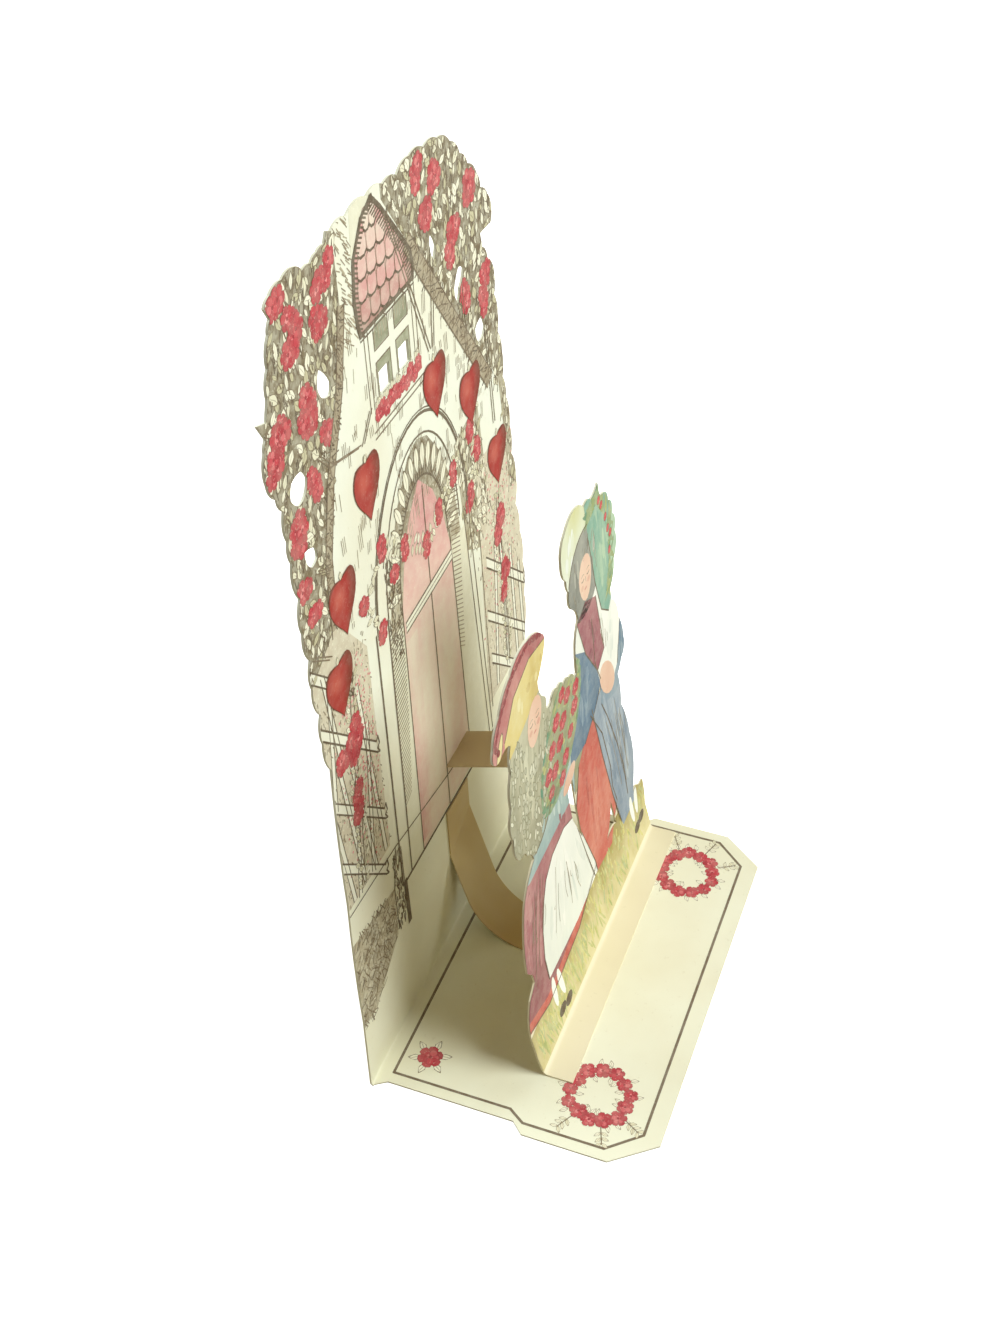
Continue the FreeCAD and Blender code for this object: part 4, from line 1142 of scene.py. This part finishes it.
# Pleats as (ink, layer, darkest tone, lightest tone, count, corners).
PLEATS = (
    ("skirt", 3, 0.25, 0.8, 26, ((-36, 58), (-20, 56), (-24, 20), (-33, 24))),
    ("skirt", 3, 0.2, 0.6, 8, ((-14, 62), (0, 58), (0, 50), (-12, 54))),
    ("linen", 5, 0.35, 1.0, 24, ((-18, 50), (-2, 48), (12, 22), (-21, 20))),
    ("trousers", 4, 0.3, 0.9, 34, ((15, 70), (36, 70), (45, 22), (33, 22))),
    ("coat", 5, 0.25, 0.8, 16, ((4, 94), (10, 92), (13, 70), (5, 70))),
    ("coat", 5, 0.2, 0.9, 10, ((32, 90), (36, 86), (38, 68), (33, 66))),
    ("linen", 6, 0.3, 0.9, 12, ((18, 94), (31, 92), (30, 72), (21, 78))),
    ("scarf", 7, 0.1, 0.9, 9, ((8, 100), (15, 99), (20, 83), (14, 84))),
    ("shawl", 5, 0.25, 0.9, 44, ((-34, 98), (-16, 98), (-16, 68), (-34, 70))),
    ("sleeve", 5, 0.3, 1.0, 14, ((-20, 72), (-8, 70), (-4, 60), (-24, 60))),
    ("red", 3, 0.3, 0.75, 22, ((6, 62), (16, 62), (24, 22), (12, 22))),
    ("bonnet", 6, 0.25, 0.85, 12, ((-34, 112), (-16, 112), (-17, 106), (-34, 104))),
    ("hair", 7, 0.25, 0.85, 30, ((2, 118), (18, 118), (17, 105), (4, 105))),
    ("hat", 5, 0.5, 1.0, 9, ((-3, 129), (5, 129), (2, 116), (-1, 118))),
    ("plume", 8, 0.3, 0.8, 30, ((16, 126), (26, 124), (30, 96), (20, 98))),
)
# Loose folds as (corners, count).
FOLDS = (
    (((-30, 58), (-20, 52), (-24, 20), (-34, 24)), 9),
    (((-16, 50), (-2, 48), (12, 22), (-20, 20)), 9),
    (((14, 69), (34, 68), (45, 22), (35, 20)), 10),
    (((17, 93), (30, 90), (30, 72), (19, 84)), 5),
)
POSY_ROSES = (
    (-0.4, 92.6), (-3.4, 88.4), (-6.0, 84.0), (-9.0, 79.6), (-12.0, 75.0), (-15.0, 70.4), (2.8, 86.4),
    (1.0, 81.6), (-1.8, 77.2), (-4.8, 72.6), (-8.0, 68.6), (-6.6, 91.0), (-10.6, 86.6), (-13.4, 81.4),
    (-16.4, 76.2),
)


def figure_sheet():
    """The front of the figure sheet, above its crease."""
    return Sheet("figure_panel", place_on_figure, figure_flat,
                 lambda normal, centre: normal.y < -0.85 and centre.z > (BOARD + BOW_START_Z) * MM)


def draw_face(skin, lines, x, y, wide, tall, turn, width):
    """A calm child's face of the usual proportions: closed lids, a short nose and a small mouth."""
    skin.stamp(x, y, wide, tall, turn, 0.8, 8, 16, lambda u, v: (u * (0.9 + 0.12 * v), v))
    for side in (-1, 1):
        eye = x + side * wide * 0.2
        lid = arc(eye, y + tall * 0.04, wide * 0.09, tall * 0.03, 200, 340, 4)
        brow = arc(eye, y + tall * 0.10, wide * 0.11, tall * 0.04, 30, 150, 4)
        lines.stroke(lid, width * 0.8, 0.55, 10)
        lines.stroke(brow, width * 0.6, 0.85, 10)
        skin.stamp(x + side * wide * 0.24, y - tall * 0.12, wide * 0.2, tall * 0.12, 0, 0.45, 9, 10)
    nose = [(x + wide * 0.01, y + tall * 0.02), (x + wide * 0.04, y - tall * 0.09)]
    lines.stroke(nose, width * 0.6, 0.85, 10)
    skin.stamp(x + wide * 0.01, y - tall * 0.22, wide * 0.18, tall * 0.05, 0, 0.2, 10, 8)


def print_pleats(ink, rng, corners, count, level, low, high):
    """Slim strokes of a darker or lighter wash that run with the cloth."""
    (ax, ay), (bx, by), (cx, cy), (dx, dy) = corners
    for _ in range(count):
        share = rng.uniform(0.05, 0.95)
        top = Vector((ax + (bx - ax) * share, ay + (by - ay) * share))
        foot = Vector((dx + (cx - dx) * share, dy + (cy - dy) * share))
        spot, run = top.lerp(foot, rng.uniform(0.2, 0.8)), top - foot
        ink.stamp(spot.x, spot.y, rng.uniform(0.9, 2.2), run.length * rng.uniform(0.2, 0.5),
                  math.degrees(math.atan2(-run.x, run.y)), rng.uniform(low, high), level, 10)


def print_folds(lines, rng, corners, count, width):
    """Loose fold strokes that run from one side of a field to the other."""
    (ax, ay), (bx, by), (cx, cy), (dx, dy) = corners
    for _ in range(count):
        s = rng.uniform(0.06, 0.94)
        top = Vector((ax + (bx - ax) * s, ay + (by - ay) * s))
        foot = Vector((dx + (cx - dx) * s, dy + (cy - dy) * s))
        first, last = sorted((rng.uniform(0, 0.6), rng.uniform(0.4, 1)))
        sway = Vector((rng.uniform(-0.8, 0.8), 0))
        steps = [top.lerp(foot, first + (last - first) * k / 3) + sway * (1 if k in (1, 2) else 0)
                 for k in range(4)]
        lines.stroke(steps, width, rng.uniform(0.55, 0.95), 9)


def print_clothes(drawn, width, rng):
    """Outlines, pleats and folds of the clothes, and the lace of the shawl."""
    lines, lace = pick(drawn, "lines lace")
    for points in FIGURE_LINES:
        lines.stroke(points, width * 1.2, 0.25, 9)
    for name, level, low, high, count, corners in PLEATS:
        print_pleats(drawn[name], rng, corners, count, level, low, high)
    for corners, count in FOLDS:
        print_folds(lines, rng, corners, count, width * 0.6)
    for _ in range(260):
        x, y = rng.uniform(-38, -11), rng.uniform(63, 106)
        if inside(SHAWL, x, y) and y < 99 and not (abs(x + 22.6) < 5.0 and 90 < y < 104.6):
            lace.stamp(x, y, rng.uniform(0.8, 1.5), rng.uniform(1.8, 4.2), rng.gauss(0, 24),
                       rng.uniform(0.2, 1.0), 6, 8)


def print_bonnet(drawn, width):
    """Scallops along the bonnet's rim and the curl at its side."""
    lines, berries, bonnet = pick(drawn, "lines berries_and_scallops bonnet")
    scallops = [(-14.6, 114.4), (-17, 116), (-24.4, 119), (-33.4, 117.6), (-40, 113), (-43.6, 108),
                (-41, 104.2)]
    for x, y, heading in along(scallops, 2.0):
        berries.stamp(x, y, 2.2, 1.5, heading, 0.15, 8, 10)
    bonnet.stamp(-41.4, 105.0, 2.4, 8.6, -24, 0.75, 8, 12)
    lines.stroke(oval(-41.4, 105.0, 1.2, 4.3, -24, 12), width * 0.8, 0.1, 9, closed=True)


def print_posy(drawn, rose_width, rng):
    """Roses and leaves of the posy, and the longer leaves round it."""
    petals, leaves = pick(drawn, "posy_roses leaves")
    for x, y in POSY_ROSES:
        draw_rose(petals, x + rng.uniform(-0.6, 0.6), y + rng.uniform(-0.6, 0.6),
                  rose_width * rng.uniform(0.66, 0.86), rng, 8)
    for _ in range(170):
        x, y = rng.uniform(-20, 7), rng.uniform(62, 97)
        if inside(POSY, x, y):
            draw_leaf(leaves, x, y, rng.uniform(1.8, 3.2), rng.uniform(-180, 180), rng.uniform(0.0, 0.8), 7)
    for (x, y), (x1, y1) in zip(POSY, POSY[1:]):
        heading = math.degrees(math.atan2(y1 - y, x1 - x))
        draw_leaf(leaves, x, y, 4.2, heading - 90 + rng.uniform(-20, 20), rng.uniform(0.0, 0.35), 7, 0.36)


def print_plume(drawn, rng):
    """Leaves and berries along the spine of the plume."""
    leaves, berries = pick(drawn, "leaves berries_and_scallops")
    spine = [(12, 124), (19, 125.6), (25, 119), (28, 111), (28.4, 103), (26, 95)]
    for x, y, heading in along(spine, 1.1):
        for side in (-1, 1):
            leaves.stamp(x, y, 1.5, 6.4, heading - 90 + side * 42, rng.uniform(0.1, 0.6), 8, 8, leaf_form)
    for x, y in ((20, 123.6), (21.6, 121.4), (26, 112.6), (27.6, 110.4), (27, 106.2), (24.4, 116.6)):
        berries.stamp(x, y, 1.9, 2.2, 0, 0.65, 10, 10)


def print_heads(drawn, width, rng):
    """Both faces, and loose strokes in the hair."""
    lines, skin = pick(drawn, "lines skin")
    draw_face(skin, lines, -22.6, 97.4, 9.0, 12.0, -10, width)
    draw_face(skin, lines, 10.6, 110.0, 8.6, 12.4, 10, width)
    for _ in range(26):
        x, y = 3 + 15 * rng.random(), 103 + 17 * rng.random()
        if abs(x - 10.4) > 4.4 or y > 116.5:
            lines.stroke([(x, y), (x + rng.uniform(-1, 1), y - 2.6)], width * 0.7, rng.uniform(0.4, 0.9), 8)


def print_grass(drawn, rng):
    """Blades of grass, with the stockings and shoes that stand in it."""
    lines, leaves, linen = pick(drawn, "lines leaves linen")
    for _ in range(330):
        x = rng.uniform(-34, 51)
        y = 1.5 + (13 if x > 0 else 7) * rng.random()
        leaves.stamp(x, y + 1.6, 0.9, rng.uniform(3, 6), rng.uniform(-28, 28), rng.uniform(0.6, 1.0), 1, 6,
                     leaf_form)
    for x, y, turn in ((-16.4, 8, 6), (-20.4, 8.6, -4), (41.6, 10.5, 4), (45.2, 11, -6)):
        linen.stamp(x, y + 2.4, 2.5, 9.0, turn, 0.8, 5, 12)
        lines.stamp(x + 1.0, y - 4.4, 4.6, 2.3, 8, 0.1, 6, 12)


def dress_figure(settings):
    """Prints the figure sheet: fields of colour first, then what is drawn on them."""
    rng = random.Random(settings.seed + 7)
    sheet = figure_sheet()
    names = dict.fromkeys([row[0] for row in FIGURE_FIELDS] + list(FIGURE_FINISHES))
    drawn = {name: Ink(sheet) for name in names}
    for name, level, low, high, corners in FIGURE_FIELDS:
        drawn[name].field(corners, level=level, tones=(low, high))
    width = settings.line_width * FINE_LINE
    print_clothes(drawn, width, rng)
    print_bonnet(drawn, width)
    print_posy(drawn, settings.rose_width, rng)
    print_plume(drawn, rng)
    print_heads(drawn, width, rng)
    print_grass(drawn, rng)
    lay_all(sheet, drawn, "figure_", FIGURE_FINISHES, "figure_paper")


# Operators

class CARD_OT_materials(bpy.types.Operator):
    """Make the papers and inks, and give the CAD solids their papers"""
    bl_idname = "card.materials"
    bl_label = "Papers and Inks"

    def execute(self, context):
        settings = context.scene.card_print
        paper_group()
        ink_group()
        board = paper_material("cream card board", settings.board_colour, 0.35)
        thin = paper_material("figure paper", rgb("#ece2c2"), 0.4)
        # Painted shade: the strip paper's tan partly paints the shade in the pocket behind the figure sheet.
        strip = paper_material("strip paper in painted shade", settings.strip_shade_colour, 0.5)
        for node, material in (("folded_card", board), ("figure_panel", thin),
                               ("upper_strip", strip), ("lower_brace", strip)):
            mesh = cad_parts[node].data
            mesh.materials.clear()
            mesh.materials.append(material)
        ink_material("ink line", settings.line_colour, "#5a4c3a", "#b9ad90", mottle=0.1, wear=0.2)
        ink_material("ink ground", "#93866a", "#76684d", "#c6bf9f", mottle=0.35, wear=0.45)
        ink_material("ink leaf", settings.leaf_colour, "#716248", "#f2efd6", edge=0.2, vein=0.5, mottle=0.06)
        ink_material("ink base_leaf", "#efe9c6", "#7e6b48", "#f6f2da", edge=0.24, vein=0.8, mottle=0.1)
        ink_material("ink rose", settings.rose_colour, "#9a343b", "#e8908f", edge=0.12, mottle=0.12,
                     wear=0.25)
        ink_material("ink heart", settings.heart_colour, "#7a3a2b", "#cf6c5a", edge=0.05, gloss=0.6,
                     mottle=0.05, wear=0.08)
        ink_material("ink tile", "#dba59d", "#8c6a56", "#ede6cf", edge=0.1, mottle=0.25, wear=0.3)
        ink_material("ink glass", "#95977a", "#6f7058", "#b9b898", mottle=0.2)
        ink_material("ink door", "#e2bcae", "#cf8286", "#ebe6cc", mottle=0.2, wear=0.3, wash=0.32)
        ink_material("ink stipple", "#ab9e80", "#76684e", "#eae8cd", mottle=0.4, wear=0.75)
        ink_material("ink haze", "#b9ad8f", "#8d8164", "#dfd5bc", mottle=0.35, wear=0.75)
        ink_material("ink pale", "#ecead2", "#c9c2a2", "#f2f1de", mottle=0.1)
        ink_material("ink blush", "#d9737b", "#c4545c", "#e9a3a3", mottle=0.2)
        for name, colour, dark, light in FIGURE_INKS:
            ink_material("ink " + name, colour, dark, light, mottle=0.1, wear=0.12, wash=0.5)
        ink_material("ink lace", "#b9b89c", "#8f8b6e", "#e4e2ca", edge=0.3, mottle=0.1)
        ink_material("ink green", "#9ca76c", "#5f9074", "#d3c97a", mottle=0.2, wash=0.3)
        ink_material("ink berry", "#c8434a", "#6b3438", "#e06a62", edge=0.14, mottle=0.1)
        return {"FINISHED"}


class CARD_OT_panel(bpy.types.Operator):
    """Print the cottage front on the back panel"""
    bl_idname = "card.panel"
    bl_label = "Back Panel Print"

    def execute(self, context):
        dress_panel(context.scene.card_print)
        return {"FINISHED"}


class CARD_OT_base(bpy.types.Operator):
    """Print the border line, wreaths and roses on the base"""
    bl_idname = "card.base"
    bl_label = "Base Print"

    def execute(self, context):
        dress_base(context.scene.card_print)
        return {"FINISHED"}


class CARD_OT_figures(bpy.types.Operator):
    """Print the two children, their posy and the grass on the figure sheet"""
    bl_idname = "card.figures"
    bl_label = "Figure Sheet Print"

    def execute(self, context):
        dress_figure(context.scene.card_print)
        return {"FINISHED"}


class CARD_OT_stage(bpy.types.Operator):
    """Make the floor, the lamps, the room light and the camera"""
    bl_idname = "card.stage"
    bl_label = "Studio"

    def execute(self, context):
        scene = context.scene
        settings = scene.card_stage
        scene.view_settings.view_transform = "Standard"
        self.make_floor(settings)
        self.make_world(scene, settings)
        self.make_lamp("window light", (0.12, -0.72, 0.88), 0.6, settings.key_power)
        self.make_lamp("fill light", (0.8, -0.35, 0.24), 0.36, settings.fill_power)
        self.make_lamp("back light", (-0.1, 0.95, 0.5), 0.6, settings.back_power)
        camera = bpy.data.cameras.new("photo camera")
        camera.lens = settings.lens
        camera.clip_start = 0.01
        holder = bpy.data.objects.new("photo camera", camera)
        holder.location = settings.camera_place
        holder.rotation_euler = Euler(settings.camera_turn)
        scene.collection.objects.link(holder)
        scene.camera = holder
        return {"FINISHED"}

    def make_floor(self, settings):
        """A plain floor just below the card, which the camera sees as nearly white."""
        mesh = bpy.data.meshes.new("floor")
        bm = bmesh.new()
        bmesh.ops.create_grid(bm, x_segments=1, y_segments=1, size=3.0)
        bmesh.ops.translate(bm, verts=bm.verts, vec=(0, 0, -0.0001))
        bm.to_mesh(mesh)
        bm.free()
        floor = bpy.data.objects.new("floor", mesh)
        bpy.context.scene.collection.objects.link(floor)
        material = new_material("plain floor")
        tree = material.node_tree
        surface = tree.nodes["Principled BSDF"]
        surface.inputs["Roughness"].default_value = 0.9
        surface.inputs["Emission Color"].default_value = (1, 1, 1, 1)
        seen = tree.nodes.new("ShaderNodeLightPath").outputs["Is Camera Ray"]
        glow = math_node(tree, "MULTIPLY", seen, FLOOR_GLOW)
        tree.links.new(glow, surface.inputs["Emission Strength"])
        tree.links.new(blend(tree, seen, FLOOR_TINT, tuple(settings.floor_colour)),
                       surface.inputs["Base Color"])
        mesh.materials.append(material)

    def make_world(self, scene, settings):
        """Warm room light on the card, and a pale backdrop for the camera."""
        world = bpy.data.worlds.new("room light")
        world.use_nodes = True
        tree = world.node_tree
        background = tree.nodes["Background"]
        seen = tree.nodes.new("ShaderNodeLightPath").outputs["Is Camera Ray"]
        strength = math_node(tree, "MULTIPLY_ADD", seen, 1 - settings.sky, settings.sky)
        room = blend(tree, seen, ROOM_TINT, BACKDROP_TINT)
        tree.links.new(room, background.inputs["Color"])
        tree.links.new(strength, background.inputs["Strength"])
        scene.world = world

    def make_lamp(self, name, place, size, power):
        """A round soft lamp that aims at the middle of the card."""
        lamp = bpy.data.lights.new(name, "AREA")
        lamp.shape = "DISK"
        lamp.size = size
        lamp.energy = power
        lamp.color = LAMP_TINT
        holder = bpy.data.objects.new(name, lamp)
        holder.location = place
        sight = Vector(STAGE_MIDDLE) - Vector(place)
        holder.rotation_euler = sight.to_track_quat("-Z", "Y").to_euler()
        bpy.context.scene.collection.objects.link(holder)


class CARD_PT_panel(bpy.types.Panel):
    """Lists the steps that print the card"""
    bl_idname = "CARD_PT_panel"
    bl_label = "Greeting Card"
    bl_space_type = "VIEW_3D"
    bl_region_type = "UI"
    bl_category = "Card"

    def draw(self, context):
        for operator in STEPS:
            self.layout.operator(operator.bl_idname)
        for group in (context.scene.card_print, context.scene.card_stage):
            box = self.layout.box()
            for name in group.__annotations__:
                box.prop(group, name)


STEPS = (CARD_OT_materials, CARD_OT_panel, CARD_OT_base, CARD_OT_figures, CARD_OT_stage)
CLASSES = (CardPrintSettings, CardStageSettings, *STEPS, CARD_PT_panel)


def register():
    for cls in CLASSES:
        bpy.utils.register_class(cls)
    bpy.types.Scene.card_print = bpy.props.PointerProperty(type=CardPrintSettings)
    bpy.types.Scene.card_stage = bpy.props.PointerProperty(type=CardStageSettings)


def unregister():
    del bpy.types.Scene.card_stage
    del bpy.types.Scene.card_print
    for cls in reversed(CLASSES):
        bpy.utils.unregister_class(cls)


def main():
    """Runs every step."""
    register()
    bpy.ops.card.materials()
    bpy.ops.card.panel()
    bpy.ops.card.base()
    bpy.ops.card.figures()
    bpy.ops.card.stage()
    bpy.context.view_layer.update()


if __name__ == "__main__":
    main()
